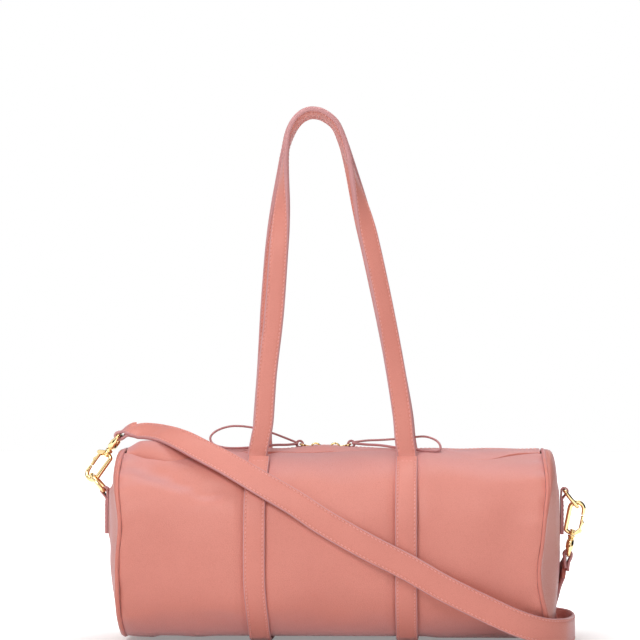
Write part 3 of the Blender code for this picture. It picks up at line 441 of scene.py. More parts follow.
def annulus(outer: Array, inner: Array, low: float, high: float, bevel: float) -> Patch:
    """A plate with a hole: eight loops between two outlines with as many points each.

    Args:
        outer: Anticlockwise outer outline.
        inner: Anticlockwise hole outline, point for point beside the outer one.
        low: Height of the lower face.
        high: Height of the upper face.
        bevel: Size of the eased edges.

    Returns:
        The ring-shaped plate, in local axes.
    """
    loops = [(outer, low + bevel), (outer, high - bevel), (inset_outline(outer, bevel), high),
             (inset_outline(inner, -bevel), high), (inner, high - bevel),
             (inner, low + bevel), (inset_outline(inner, -bevel), low),
             (inset_outline(outer, bevel), low)]
    grid = stacked(loops).transpose(1, 0, 2)
    rows, cols = grid.shape[:2]
    return Patch(grid.reshape(-1, 3), [(quads(rows, cols, True, True), 0)])


def lathe(profile: Array, sides: int = 28) -> Patch:
    """A profile (radius, height) turned about Z: (r cos a, r sin a, h), poles merged later.

    Args:
        profile: Points from the top pole to the bottom one.
        sides: Divisions of the turn.

    Returns:
        The turned solid.
    """
    angles = full_turn(sides)
    radius, height = profile[:, :1], profile[:, 1:]
    grid = np.stack([radius * np.cos(angles), radius * np.sin(angles),
                     np.broadcast_to(height, (len(profile), sides))], axis=2)
    return Patch(grid.reshape(-1, 3), [(quads(len(profile), sides, True), 0)])


def stitches(path: Array, out: Array, pitch: float = 0.0027, length: float = 0.0019,
             radius: float = 0.00031) -> Patch:
    """A row of thread stitches: short capsules laid along a path, their ends sunk.

    Each stitch has four rings of six points. The rings at its two ends have a smaller radius
    and lie one thread radius lower.

    Args:
        path: The seam line on the leather.
        out: Unit normals of the leather there.
        pitch: Distance from stitch to stitch.
        length: Visible length of a stitch.
        radius: Thread radius.

    Returns:
        All the stitches as one patch.
    """
    middle, normal = evenly(path, (out,), pitch)
    way = directions(middle)
    middle, normal, way = middle[1:-1], unit(normal[1:-1]), way[1:-1]
    side = unit(np.cross(way, normal))
    way = unit(way + side * 0.12)
    angles = full_turn(6)
    along = np.array([-0.5, -0.32, 0.32, 0.5])[:, None] * length
    size = np.array([0.35, 1.0, 1.0, 0.35])[:, None] * radius
    lift = np.array([-1.0, 0.0, 0.0, -1.0])[:, None] * radius
    template = np.stack([np.broadcast_to(along, (4, 6)), size * np.cos(angles),
                         size * np.sin(angles) + lift], axis=2).reshape(-1, 3)
    points = (middle[:, None] + template[None, :, :1] * way[:, None]
              + template[None, :, 1:2] * side[:, None] + template[None, :, 2:] * normal[:, None])
    return copies(points, 4, 6)


def in_scene(name: str, data: bpy.types.ID) -> bpy.types.Object:
    """A new object on its data, linked to the scene."""
    made = bpy.data.objects.new(name, data)
    bpy.context.scene.collection.objects.link(made)
    return made


def finished(name: str, patch: Patch, materials: list[bpy.types.Material],
             body: str = ROOT, replaces: tuple[str, ...] = (),
             crease: float = 38.0) -> bpy.types.Object:
    """Turn a patch into a piece of the bag that rides on a body.

    Args:
        name: The piece's name.
        patch: Its surface.
        materials: One per material slot of the patch.
        body: The body it rides on.
        replaces: Solids that it stands for.
        crease: Angle in degrees past which an edge is shaded sharp.

    Returns:
        The new object.
    """
    mesh = bpy.data.meshes.new(name)
    faces: list[list[int]] = []
    chosen: list[int] = []
    for block, index in patch.faces:
        faces += block.tolist()
        chosen += [index] * len(block)
    mesh.from_pydata(patch.points.tolist(), [], faces)
    mesh.polygons.foreach_set("material_index", chosen)
    builder = bmesh.new()
    builder.from_mesh(mesh)
    bmesh.ops.remove_doubles(builder, verts=builder.verts, dist=1e-6)
    bmesh.ops.recalc_face_normals(builder, faces=builder.faces)
    builder.to_mesh(mesh)
    builder.free()
    for material in materials:
        mesh.materials.append(material)
    mesh.shade_smooth()
    mesh.set_sharp_from_angle(angle=math.radians(crease))
    piece = in_scene(name, mesh)
    if replaces:
        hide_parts(*replaces)
    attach(piece, body)
    LOG.info("%s: %d faces", name, len(mesh.polygons))
    return piece


# ---------------------------------------------------------------- finishes


def node_group(name: str, inputs: dict[str, float],
               outputs: dict[str, str]) -> bpy.types.NodeTree:
    """An empty shader node group with float inputs and typed outputs.

    Args:
        name: The group's name.
        inputs: Input names with their defaults.
        outputs: Output names with their socket types.

    Returns:
        The group, with its input and output nodes.
    """
    group = bpy.data.node_groups.new(name, "ShaderNodeTree")
    for label, value in inputs.items():
        socket = group.interface.new_socket(label, in_out="INPUT", socket_type="NodeSocketFloat")
        socket.default_value = value
    for label, kind in outputs.items():
        group.interface.new_socket(label, in_out="OUTPUT", socket_type=kind)
    group.nodes.new("NodeGroupInput").name = "in"
    group.nodes.new("NodeGroupOutput").name = "out"
    return group


class Wiring:
    """Short calls for adding and joining nodes in one tree."""

    def __init__(self, tree: bpy.types.NodeTree) -> None:
        """Keep the tree.

        Args:
            tree: The node tree to work in.
        """
        self.tree = tree

    def add(self, kind: str, **values: object) -> bpy.types.Node:
        """A node with attributes set by name.

        Args:
            kind: The node's type.
            **values: Attributes to set.

        Returns:
            The node.
        """
        node = self.tree.nodes.new(kind)
        for key, value in values.items():
            setattr(node, key, value)
        return node

    def join(self, source: object, target: bpy.types.NodeSocket) -> None:
        """Link a socket to a target, or set the target to a number or colour.

        Args:
            source: Socket or value.
            target: The input that takes it.
        """
        if isinstance(source, bpy.types.NodeSocket):
            self.tree.links.new(source, target)
        else:
            target.default_value = source

    def maths(self, operation: str, first: object, second: object) -> bpy.types.NodeSocket:
        """A Math node on two sockets or numbers.

        Args:
            operation: The node's operation.
            first: Socket or number.
            second: Socket or number.

        Returns:
            Its output socket.
        """
        node = self.add("ShaderNodeMath", operation=operation)
        self.join(first, node.inputs[0])
        self.join(second, node.inputs[1])
        return node.outputs[0]

    def spread(self, value: bpy.types.NodeSocket, low: float, high: float, to_low: float,
               to_high: float) -> bpy.types.NodeSocket:
        """A Map Range node from one span of values to another.

        Args:
            value: The socket to map.
            low: Start of the source span.
            high: End of the source span.
            to_low: Start of the target span.
            to_high: End of the target span.

        Returns:
            Its output socket.
        """
        node = self.add("ShaderNodeMapRange")
        self.join(value, node.inputs["Value"])
        for label, number in (("From Min", low), ("From Max", high), ("To Min", to_low),
                              ("To Max", to_high)):
            node.inputs[label].default_value = number
        return node.outputs[0]

    def place(self) -> bpy.types.NodeSocket:
        """The object coordinates."""
        return self.add("ShaderNodeTexCoord").outputs["Object"]

    def noise(self, scale: object, detail: float) -> bpy.types.Node:
        """A Noise Texture node on object coordinates.

        Args:
            scale: Socket or number.
            detail: The noise's detail.

        Returns:
            The node.
        """
        node = self.add("ShaderNodeTexNoise")
        for label, value in (("Vector", self.place()), ("Scale", scale), ("Detail", detail)):
            self.join(value, node.inputs[label])
        return node

    def mixed(self, factor: bpy.types.NodeSocket, first: object,
              second: object) -> bpy.types.NodeSocket:
        """A colour that goes from a first one to a second with a factor.

        Args:
            factor: The factor's socket.
            first: Socket, or colour with alpha.
            second: Socket, or colour with alpha.

        Returns:
            The colour's socket.
        """
        node = self.add("ShaderNodeMix", data_type="RGBA")
        for label, value in (("Factor", factor), ("A", first), ("B", second)):
            self.join(value, node.inputs[label])
        return node.outputs["Result"]

    def relief(self, height: bpy.types.NodeSocket, strength: float,
               shader: bpy.types.Node) -> None:
        """Feed a height through a Bump node to a shader's normal.

        Args:
            height: The height's socket.
            strength: The bump's strength.
            shader: The shader node.
        """
        bump = self.add("ShaderNodeBump")
        for label, value in (("Strength", strength), ("Distance", BUMP_DISTANCE),
                             ("Height", height)):
            self.join(value, bump.inputs[label])
        self.join(bump.outputs[0], shader.inputs["Normal"])


def hide_grain_group() -> bpy.types.NodeTree:
    """Pebbled leather grain: warped cells with creases between them, and slow tone drift.

    Returns:
        A group with Height, Crease and Tone outputs.
    """
    group = node_group("hide_grain", {"Cells": 900.0, "Warp": 0.0006, "Drift": 22.0},
                       {"Height": "NodeSocketFloat", "Crease": "NodeSocketFloat",
                        "Tone": "NodeSocketFloat"})
    wire = Wiring(group)
    given, result = group.nodes["in"], group.nodes["out"]
    warp = wire.noise(420.0, 2.0)
    centred = wire.add("ShaderNodeVectorMath", operation="SUBTRACT")
    wire.join(warp.outputs["Color"], centred.inputs[0])
    wire.join((0.5, 0.5, 0.5), centred.inputs[1])
    scaled = wire.add("ShaderNodeVectorMath", operation="SCALE")
    wire.join(centred.outputs[0], scaled.inputs[0])
    wire.join(given.outputs["Warp"], scaled.inputs["Scale"])
    moved = wire.add("ShaderNodeVectorMath", operation="ADD")
    wire.join(wire.place(), moved.inputs[0])
    wire.join(scaled.outputs[0], moved.inputs[1])
    cells = wire.add("ShaderNodeTexVoronoi", feature="DISTANCE_TO_EDGE")
    wire.join(moved.outputs[0], cells.inputs["Vector"])
    wire.join(given.outputs["Cells"], cells.inputs["Scale"])
    crease = wire.spread(cells.outputs["Distance"], 0.0, 0.16, 0.0, 1.0)
    fine = wire.noise(1900.0, 3.0)
    height = wire.maths("ADD", crease, wire.maths("MULTIPLY", fine.outputs[0], 0.5))
    drift = wire.noise(given.outputs["Drift"], 4.0)
    wire.join(height, result.inputs["Height"])
    wire.join(crease, result.inputs["Crease"])
    wire.join(drift.outputs[0], result.inputs["Tone"])
    return group


def cloth_weave_group() -> bpy.types.NodeTree:
    """Plain weave: two sine ribbings at right angles, one over the other.

    Returns:
        A group with Height and Thread outputs.
    """
    group = node_group("cloth_weave", {"Threads": 2600.0},
                       {"Height": "NodeSocketFloat", "Thread": "NodeSocketFloat"})
    wire = Wiring(group)
    given, result = group.nodes["in"], group.nodes["out"]
    split = wire.add("ShaderNodeSeparateXYZ")
    wire.join(wire.place(), split.inputs[0])
    ribs = []
    for axis in ("X", "Y"):
        phase = wire.maths("MULTIPLY", split.outputs[axis], given.outputs["Threads"])
        ribs.append(wire.maths("SINE", phase, 0.0))
    height = wire.maths("MULTIPLY", ribs[0], ribs[1])
    wire.join(height, result.inputs["Height"])
    wire.join(wire.spread(height, -1.0, 1.0, 0.0, 1.0), result.inputs["Thread"])
    return group


def fine_wear_group() -> bpy.types.NodeTree:
    """Faint handling marks on polished metal: one noise for gloss and height.

    Returns:
        A group with Gloss and Height outputs.
    """
    group = node_group("fine_wear", {"Marks": 300.0},
                       {"Gloss": "NodeSocketFloat", "Height": "NodeSocketFloat"})
    wire = Wiring(group)
    given, result = group.nodes["in"], group.nodes["out"]
    noise = wire.noise(given.outputs["Marks"], 5.0)
    wire.join(noise.outputs[0], result.inputs["Gloss"])
    wire.join(noise.outputs[0], result.inputs["Height"])
    return group


@dataclass(frozen=True)
class Groups:
    """The node groups that several finishes share."""

    grain: bpy.types.NodeTree
    weave: bpy.types.NodeTree
    wear: bpy.types.NodeTree


def blank_material(name: str) -> tuple[bpy.types.Material, Wiring, bpy.types.Node]:
    """A material with a Principled BSDF.

    Args:
        name: The material's name.

    Returns:
        The material, its wiring and its shader node.
    """
    material = bpy.data.materials.new(name)
    material.use_nodes = True
    return material, Wiring(material.node_tree), material.node_tree.nodes["Principled BSDF"]


@dataclass(frozen=True)
class LeatherFinish:
    """Pebbled leather with a soft sheen, and a painted reflection: mauve where it turns away from
    the eye.
    """

    name: str
    color: tuple[float, float, float] = (0.735, 0.262, 0.205)
    shade: tuple[float, float, float] = (0.60, 0.185, 0.145)
    roughness: float = 0.46
    cells: float = 900.0
    bump: float = 0.32
    sheen: float = 0.10
    # Painted reflection: the share of mauve at grazing angles, the facing where it begins, and its
    # colour.
    painted_reflection: float = 0.75
    painted_reflection_start: float = 0.45
    painted_reflection_color: tuple[float, float, float] = (0.62, 0.33, 0.36)
    sheen_color: tuple[float, float, float] = (1.0, 0.86, 0.88)

    def material(self, groups: Groups) -> bpy.types.Material:
        """Build the material.

        Args:
            groups: The shared node groups.

        Returns:
            The material.
        """
        made, wire, shader = blank_material(self.name)
        grain = wire.add("ShaderNodeGroup", node_tree=groups.grain)
        wire.join(self.cells, grain.inputs["Cells"])
        # The colour goes towards the shade colour in the grain's creases, a painted shade there,
        # and drifts at random in tone.
        drift = wire.spread(grain.outputs["Tone"], 0.3, 0.7, 0.72, 1.08)
        factor = wire.maths("MULTIPLY", drift, wire.spread(grain.outputs["Crease"], 0.0, 1.0,
                                                           0.62, 1.0))
        plain = wire.mixed(factor, (*self.shade, 1.0), (*self.color, 1.0))
        # Mauve mixed in by facing: a painted reflection of the pale surroundings at grazing
        # angles.
        facing = wire.add("ShaderNodeLayerWeight")
        wire.join(0.5, facing.inputs["Blend"])
        painted_reflection = wire.spread(facing.outputs["Facing"], self.painted_reflection_start, 0.95, 0.0, self.painted_reflection)
        rough = wire.spread(grain.outputs["Crease"], 0.0, 1.0, self.roughness + 0.14,
                            self.roughness)
        for label, value in (("Base Color", wire.mixed(painted_reflection, plain, (*self.painted_reflection_color, 1.0))),
                             ("Roughness", rough), ("Sheen Weight", self.sheen),
                             ("Sheen Roughness", 0.45), ("Sheen Tint", (*self.sheen_color, 1.0))):
            wire.join(value, shader.inputs[label])
        wire.relief(grain.outputs["Height"], self.bump, shader)
        return made


@dataclass(frozen=True)
class ClothFinish:
    """Woven cloth of the lining or the zip tape."""

    name: str
    color: tuple[float, float, float]
    threads: float = 2600.0
    shade_share: float = 0.7

    def material(self, groups: Groups) -> bpy.types.Material:
        """Build the material.

        Args:
            groups: The shared node groups.

        Returns:
            The material.
        """
        made, wire, shader = blank_material(self.name)
        weave = wire.add("ShaderNodeGroup", node_tree=groups.weave)
        wire.join(self.threads, weave.inputs["Threads"])
        # Darker where the weave sinks, a painted shade between the threads.
        shade = (*[channel * self.shade_share for channel in self.color], 1.0)
        wire.join(wire.mixed(weave.outputs["Thread"], shade, (*self.color, 1.0)),
                  shader.inputs["Base Color"])
        wire.relief(weave.outputs["Height"], 0.4, shader)
        wire.join(0.9, shader.inputs["Roughness"])
        return made


@dataclass(frozen=True)
class GoldFinish:
    """Polished gold plate."""

    name: str
    color: tuple[float, float, float] = (0.92, 0.70, 0.36)
    roughness: float = 0.10

    def material(self, groups: Groups) -> bpy.types.Material:
        """Build the material.

        Args:
            groups: The shared node groups.

        Returns:
            The material.
        """
        made, wire, shader = blank_material(self.name)
        wear = wire.add("ShaderNodeGroup", node_tree=groups.wear)
        wire.join((*self.color, 1.0), shader.inputs["Base Color"])
        wire.join(1.0, shader.inputs["Metallic"])
        wire.join(wire.spread(wear.outputs["Gloss"], 0.3, 0.7, self.roughness * 0.7,
                              self.roughness * 1.6), shader.inputs["Roughness"])
        wire.relief(wear.outputs["Height"], 0.05, shader)
        return made


@dataclass
class Palette:
    """Every finish on the bag."""

    groups: Groups
    hide: bpy.types.Material = field(init=False)
    end_hide_painted_shade: bpy.types.Material = field(init=False)
    strap_hide: bpy.types.Material = field(init=False)
    edge: bpy.types.Material = field(init=False)
    piping: bpy.types.Material = field(init=False)
    thread: bpy.types.Material = field(init=False)
    lace: bpy.types.Material = field(init=False)
    lining: bpy.types.Material = field(init=False)
    tape: bpy.types.Material = field(init=False)
    gold: bpy.types.Material = field(init=False)

    def __post_init__(self) -> None:
        """Build the finishes from the shared groups."""
        groups = self.groups
        # On the hide the painted reflection begins early, so it also pales the upper front as a
        # painted highlight.
        self.hide = LeatherFinish("soft_hide", roughness=0.40, bump=0.42, sheen=0.32,
                                  painted_reflection_start=0.20).material(groups)
        # The ends' leather: the hide's colour darkened as painted shade, for ends that turn away
        # from the lamps.
        self.end_hide_painted_shade = LeatherFinish("end_hide_painted_shade", color=(0.62, 0.215, 0.170),
                                      shade=(0.50, 0.155, 0.122), painted_reflection=0.55,
                                      painted_reflection_start=0.80).material(groups)
        self.strap_hide = LeatherFinish("strap_hide", cells=1050.0, bump=0.26,
                                        roughness=0.44, painted_reflection=0.75,
                                        painted_reflection_start=0.60).material(groups)
        self.edge = LeatherFinish("edge_paint", color=(0.64, 0.31, 0.31),
                                  shade=(0.44, 0.17, 0.16), roughness=0.42, cells=1500.0,
                                  bump=0.10, painted_reflection=0.2).material(groups)
        self.piping = LeatherFinish("piping_hide", color=(0.68, 0.225, 0.175),
                                    cells=1300.0, bump=0.18).material(groups)
        self.thread = LeatherFinish("sewing_thread", color=(0.86, 0.41, 0.35),
                                    shade=(0.70, 0.29, 0.24), roughness=0.6, cells=3800.0,
                                    bump=0.3).material(groups)
        self.lace = LeatherFinish("lace_hide", color=(0.52, 0.22, 0.225),
                                  shade=(0.42, 0.15, 0.14), cells=1500.0, bump=0.2,
                                  sheen=0.25).material(groups)
        self.lining = ClothFinish("lining_cloth", (0.50, 0.33, 0.27), 2200.0).material(groups)
        self.tape = ClothFinish("zip_tape_cloth", (0.55, 0.20, 0.16), 3600.0).material(groups)
        self.gold = GoldFinish("gold_plate").material(groups)

    @property
    def strap(self) -> list[bpy.types.Material]:
        """A strap's leather and its painted edge, by slot."""
        return [self.strap_hide, self.edge]


# ---------------------------------------------------------------- body form


@dataclass(frozen=True)
class BodyForm:
    """The soft barrel: a flattened superellipse carried along X, with bulges and dents."""

    half_length: float = 0.138
    half_depth: float = 0.065
    height: float = 0.126
    sink: float = 0.0035
    power: float = 2.3
    end_reach: float = 0.0118
    end_lift: float = 0.0016
    end_lift_run: float = 0.028
    belt_centre: float = 0.049
    belt_width: float = 0.0142
    belt_lift: float = 0.0011
    seam_setback: float = 0.0015
    rim_setback: float = 0.0012
    front_sag: float = 0.0150
    zip_seam: float = 0.019
    flat_softness: float = 0.0060
    # Bumps of an end seam: size, height of the middle, spread.
    right_bumps: tuple[tuple[float, float, float], ...] = (
        (0.0024, 0.104, 0.017), (-0.0036, 0.047, 0.021), (0.0020, 0.010, 0.014))
    left_bumps: tuple[tuple[float, float, float], ...] = (
        (-0.0015, 0.113, 0.018), (0.0019, 0.077, 0.016), (0.0014, 0.004, 0.012))
    # Slow waves: size, turns along X, turns round the section, phase.
    waves: tuple[tuple[float, float, float, float], ...] = (
        (0.00060, 31.0, 2.1, 0.4), (0.00048, -47.0, 3.7, 1.9),
        (0.00022, 83.0, 5.3, 2.7), (0.00012, 140.0, -8.1, 0.9))
    # Dents and swellings of the front: middle in x and z, spread in x and z, depth.
    dents: tuple[tuple[float, float, float, float, float], ...] = (
        (-0.124, 0.1185, 0.007, 0.0055, -0.0020), (-0.111, 0.1130, 0.012, 0.0058, -0.0040),
        (-0.096, 0.1070, 0.012, 0.0058, -0.0038), (-0.080, 0.1000, 0.012, 0.0060, -0.0030),
        (-0.083, 0.078, 0.014, 0.011, -0.0009), (-0.108, 0.060, 0.013, 0.022, -0.0008),
        (-0.072, 0.012, 0.020, 0.009, -0.0014), (0.085, 0.098, 0.018, 0.012, -0.0008),
        (0.118, 0.060, 0.013, 0.040, -0.0020), (0.018, 0.100, 0.015, 0.016, -0.0007),
        (-0.012, 0.040, 0.022, 0.014, 0.0007), (0.085, 0.045, 0.016, 0.015, 0.0007))

    def section(self, angle: Array, grow: Array, floor: Array) -> tuple[Array, Array]:
        """Section in (y, z): signed powers 2/p of the cosine and sine, cut soft at the floor.

        The floor is the soft maximum half of (a + b + root of ((a-b) squared + k squared)).

        Args:
            angle: Angle from +Y towards +Z.
            grow: Distance outwards from the surface.
            floor: Height of the underside there.

        Returns:
            The y and z arrays.
        """
        cosine, sine = np.cos(angle), np.sin(angle)
        cosine = np.sign(cosine) * np.abs(cosine) ** (2 / self.power)
        sine = np.sign(sine) * np.abs(sine) ** (2 / self.power)
        half = np.where(sine > 0, self.height / 2, self.height / 2 + self.sink)
        z = self.height / 2 + (half + grow) * sine
        low = floor - grow
        z = 0.5 * (z + low + np.sqrt((z - low) ** 2 + self.flat_softness ** 2))
        return (self.half_depth + grow) * cosine, z

    def underside(self, x: Array) -> Array:
        """Height of the underside along X: on the belts, lifted between them and at the ends.

        Args:
            x: Places along the bag.

        Returns:
            Heights.
        """
        end = self.end_lift * np.maximum(
            0.0, (np.abs(x) - self.half_length + self.end_lift_run) / self.end_lift_run) ** 2
        lift = self.belt_lift + 0.0007 * (1.0 - ease((np.abs(np.abs(x) - self.belt_centre) - 0.006)
                                             / -0.012))
        lift = lift - 0.0012 * ease((x - 0.060) / 0.010)
        lift = lift - 0.0020 * ease((-x - 0.113) / 0.009)
        lift = lift - 0.0010 * np.exp(-((x + 0.089) / 0.009) ** 2)
        return np.maximum(end, lift)

    def seam_shift(self, side: float, z: Array, y: Array) -> Array:
        """How far an end seam wanders along X: bumps of height, stronger on the front.

        Args:
            side: Sign of the end.
            z: Height of each point.
            y: Depth of each point.

        Returns:
            Shifts along X.
        """
        front = 0.5 - 0.5 * np.tanh(y / 0.03)
        share = 0.35 + 0.65 * front
        bumps = self.right_bumps if side > 0 else self.left_bumps
        wave = sum(size * np.exp(-((z - middle) / spread) ** 2) for size, middle, spread in bumps)
        return wave * share

    def softness(self, x: Array, angle: Array, z: Array) -> Array:
        """How far the leather stands out of its plain form: waves, puckers, presses, dents.

        Args:
            x: Places along the bag.
            angle: Section angles.
            z: Heights of the plain form.

        Returns:
            Distances outwards.
        """
        front = np.cos(angle) < 0
        waves = sum(size * np.cos(along * x + around * angle + phase)
                    for size, along, around, phase in self.waves)
        to_end = np.maximum(self.half_length - np.abs(x), 0.0)
        pucker = (0.00038 * np.exp(-to_end / 0.010) * np.cos(24 * angle + 90 * x)
                  + 0.0005 * np.exp(-to_end / 0.022) * np.cos(9 * angle + 30 * x))
        roll = -0.0009 * np.exp(-(to_end / 0.0035) ** 2)
        beyond = np.abs(np.abs(x) - self.belt_centre) - self.belt_width / 2
        puff = 0.0010 * ease(beyond / 0.007) * np.exp(-np.maximum(beyond, 0.0) / 0.05)
        press = -0.0003 * (1.0 - ease(beyond / 0.002))
        dents = np.zeros_like(x)
        for centre_x, centre_z, size_x, size_z, depth in self.dents:
            dents += depth * np.exp(-((x - centre_x) / size_x) ** 2
                                    - ((z - centre_z) / size_z) ** 2) * front
        away = ease((np.sin(angle) + 0.85) / 0.35)
        return (waves + pucker + puff + dents) * away + roll + press

    def surface(self, x: Array, angle: Array, grow: float | Array = 0.0) -> Array:
        """Points of the leather's outer surface, grown outwards by a distance.

        Args:
            x: Places along the bag.
            angle: Section angles, the same shape.
            grow: Distance outwards.

        Returns:
            Points, with a last axis of 3.
        """
        x, angle = np.broadcast_arrays(np.asarray(x, float), np.asarray(angle, float))
        floor = self.underside(x)
        _, plain = self.section(angle, np.zeros_like(x), floor)
        out = self.softness(x, angle, plain)
        y, z = self.section(angle, grow + out, floor + out)
        shift = self.seam_shift(1.0, z, y) * ease((x - 0.085) / 0.053)
        shift += self.seam_shift(-1.0, z, y) * ease((-x - 0.085) / 0.053)
        return np.stack([x + shift, y, z], axis=-1)

    def edge_angle(self, half_width: float | Array) -> Array:
        """Section angle above the horizontal at a distance from the middle plane."""
        return np.arccos((half_width / self.half_depth) ** (self.power / 2))

    def wrap_angles(self, start: float | Array, end: float, steps: int) -> Array:
        """Angles from the front's start, down under the bottom, to the back's end.

        Args:
            start: Angle at the front, or one for each column.
            end: Angle at the back.
            steps: Spans between them.

        Returns:
            Angles, one row per step where the start is an array.
        """
        share = np.linspace(0.0, 1.0, steps + 1)
        if np.ndim(start):
            share = share[:, None]
        return math.pi - start + (math.pi + start + end) * share

    def dome_out(self, share: Array, reach: float) -> Array:
        """Dome of an end: reach times the cube root of (1 - share to the fifth)."""
        return reach * np.maximum(1.0 - share ** 5.0, 0.0) ** (1.0 / 3.0)

    def dome_fall(self, side: float, y: Array, z: Array) -> Array:
        """How an end's dome falls off from its plain form, as a share of what is left.

        It falls with the square of the depth, by a power 1.5 of the drop towards the bottom,
        and on the left end also above the tab; a pad under the tab keeps the plain form.

        Args:
            side: Sign of the end.
            y: Depths.
            z: Heights.

        Returns:
            Factors on the dome's reach.
        """
        low = np.clip((0.055 - z) / 0.055, 0.0, 1.0) ** 1.5
        fall = (1.0 - 0.98 * (y / self.half_depth) ** 2)
        if side < 0:
            fall = fall * (0.86 - 0.72 * low) * (1.0 - 0.36 * ease((z - 0.098) / 0.008))
        else:
            fall = fall * (1.0 - 0.5 * low) * (1.0 - 0.05 * ease((z - 0.098) / 0.008))
        pad = (ease((z - 0.060) / 0.012) * ease((0.104 - z) / 0.006)
               * (1.0 - ease((np.abs(y) - 0.0085) / 0.012)))
        return fall + (1.0 - fall) * pad

    def front_seam(self, x: Array) -> Array:
        """Distance of the front zip seam from the middle plane: it sags between belt and end."""
        sag = (np.exp(-((x - 0.0975) / 0.021) ** 2) + np.exp(-((x + 0.104) / 0.028) ** 2))
        return self.zip_seam + self.front_sag * sag

    def end_out(self, z: float) -> float:
        """How far out an end stands on its middle line at a height."""
        half = self.height / 2 if z > self.height / 2 else self.height / 2 + self.sink
        share = min(abs(z - self.height / 2) / half, 1.0)
        out = self.dome_out(np.array(share), self.end_reach - self.rim_setback)
        return self.half_length + self.rim_setback + float(out)


@dataclass
class BarrelBody:
    """The barrel's leather, its ends, piping and lining."""

    form: BodyForm
    palette: Palette
    wall: float = 0.0020
    bead: float = 0.0014
    lining_depth: float = 0.0009
    lining_edge: float = 0.0175
    lining_reach: float = 0.134

    def panel(self) -> None:
        """The leather panel round the front, bottom and back, with sewn zip edges."""
        form = self.form
        reach = form.half_length - form.seam_setback
        x = np.sort(np.concatenate([
            np.linspace(-reach, reach, 231),
            *[side * form.belt_centre + edge * form.belt_width / 2
              + np.linspace(-0.0025, 0.0025, 9)
              for side in (-1, 1) for edge in (-1, 1)]]))
        top = form.edge_angle(form.front_seam(x))
        angles = form.wrap_angles(top, form.edge_angle(form.zip_seam), 230)
        x = x[None, :]
        outer = form.surface(x, angles)
        inner = form.surface(x, angles, -self.wall)
        finished("barrel_leather", walled(outer, inner), [self.palette.hide],
                 replaces=("barrel_panel",))

    def lining(self) -> None:
        """The cloth inside the barrel."""
        form = self.form
        top = form.edge_angle(self.lining_edge)
        angles = form.wrap_angles(top, top, 90)[:, None]
        x = np.linspace(-self.lining_reach, self.lining_reach, 80)[None, :]
        patch = walled(form.surface(x, angles, -self.wall - GAP),
                       form.surface(x, angles, -self.wall - self.lining_depth))
        finished("barrel_lining", patch, [self.palette.lining],
                 replaces=("lining_barrel",))

    def dome_grid(self, side: float, grow: float, rings: int) -> Array:
        """Grid of an end dome: rings of the section scaled by a share, standing out by it.

        Args:
            side: Sign of the end.
            grow: Distance outwards.
            rings: Number of rings.

        Returns:
            Points, rings by angles by 3.
        """
        form = self.form
        share = (1.0 - (1.0 - np.linspace(0.0, 1.0, rings)) ** 2.2)[:, None]
        angle = full_turn(180)[None, :]
        y, z = form.section(angle, np.full_like(angle, grow), np.full_like(angle, form.end_lift))
        middle = form.height / 2
        y_in, z_in = y * share, middle + (z - middle) * share
        out = form.dome_out(share, form.end_reach - form.rim_setback)
        out = out * form.dome_fall(side, y_in, z_in)
        folds = (0.0004 * np.cos(11 * angle + 0.7 * side) * share ** 3
                 + 0.0005 * np.cos(5 * angle + 1.3) * share ** 2
                 + 0.0005 * np.cos(3 * angle - 0.6 * side) * share - 0.0012 * share)
        rim = form.half_length + form.rim_setback + grow
        shift = form.seam_shift(side, z, y) * ease((share - 0.35) / 0.65)
        x = side * (rim + out + folds * (1.0 - share ** 9)) + shift
        return np.stack([x, y_in, z_in], axis=2)

    def ends(self) -> None:
        """Both domed ends with their linings."""
        for side in Side:
            patch = walled(self.dome_grid(side.value, 0.0, 46),
                           self.dome_grid(side.value, -self.wall, 46), wrap=True)
            # The ends wear the hide darkened as painted shade.
            finished("end_leather_" + side.word, patch, [self.palette.end_hide_painted_shade],
                     replaces=("end_panel_" + side.word,))
            lowest = -self.wall - self.lining_depth
            patch = walled(self.dome_grid(side.value, -self.wall - GAP, 20),
                           self.dome_grid(side.value, lowest, 20), wrap=True)
            finished("end_lining_" + side.word, patch, [self.palette.lining],
                     replaces=("lining_end_" + side.word,))

    def piping(self) -> None:
        """The round bead in each end seam."""
        form = self.form
        angle = full_turn(260)
        for side in Side:
            y, z = form.section(angle, np.full_like(angle, -0.0007),
                                np.full_like(angle, form.end_lift))
            x = side.value * form.half_length + form.seam_shift(side.value, z, y)
            path = np.stack([x, y, z], axis=1)
            along = np.broadcast_to(X_AXIS, path.shape)
            out = unit(np.cross(directions(path, closed=True), along))
            ripple = 1.0 + 0.05 * np.cos(37 * angle) + 0.04 * np.cos(61 * angle + 1.0)
            profile = circle(self.bead, 12)[None] * ripple[:, None, None]
            patch = swept(profile, path, along, out, closed=True)
            finished("piping_bead_" + side.word, patch, [self.palette.piping],
                     replaces=("piping_" + side.word,))

    def build(self) -> None:
        """Build the whole body."""
        self.panel()
        self.lining()
        self.ends()
        self.piping()


# ---------------------------------------------------------------- straps


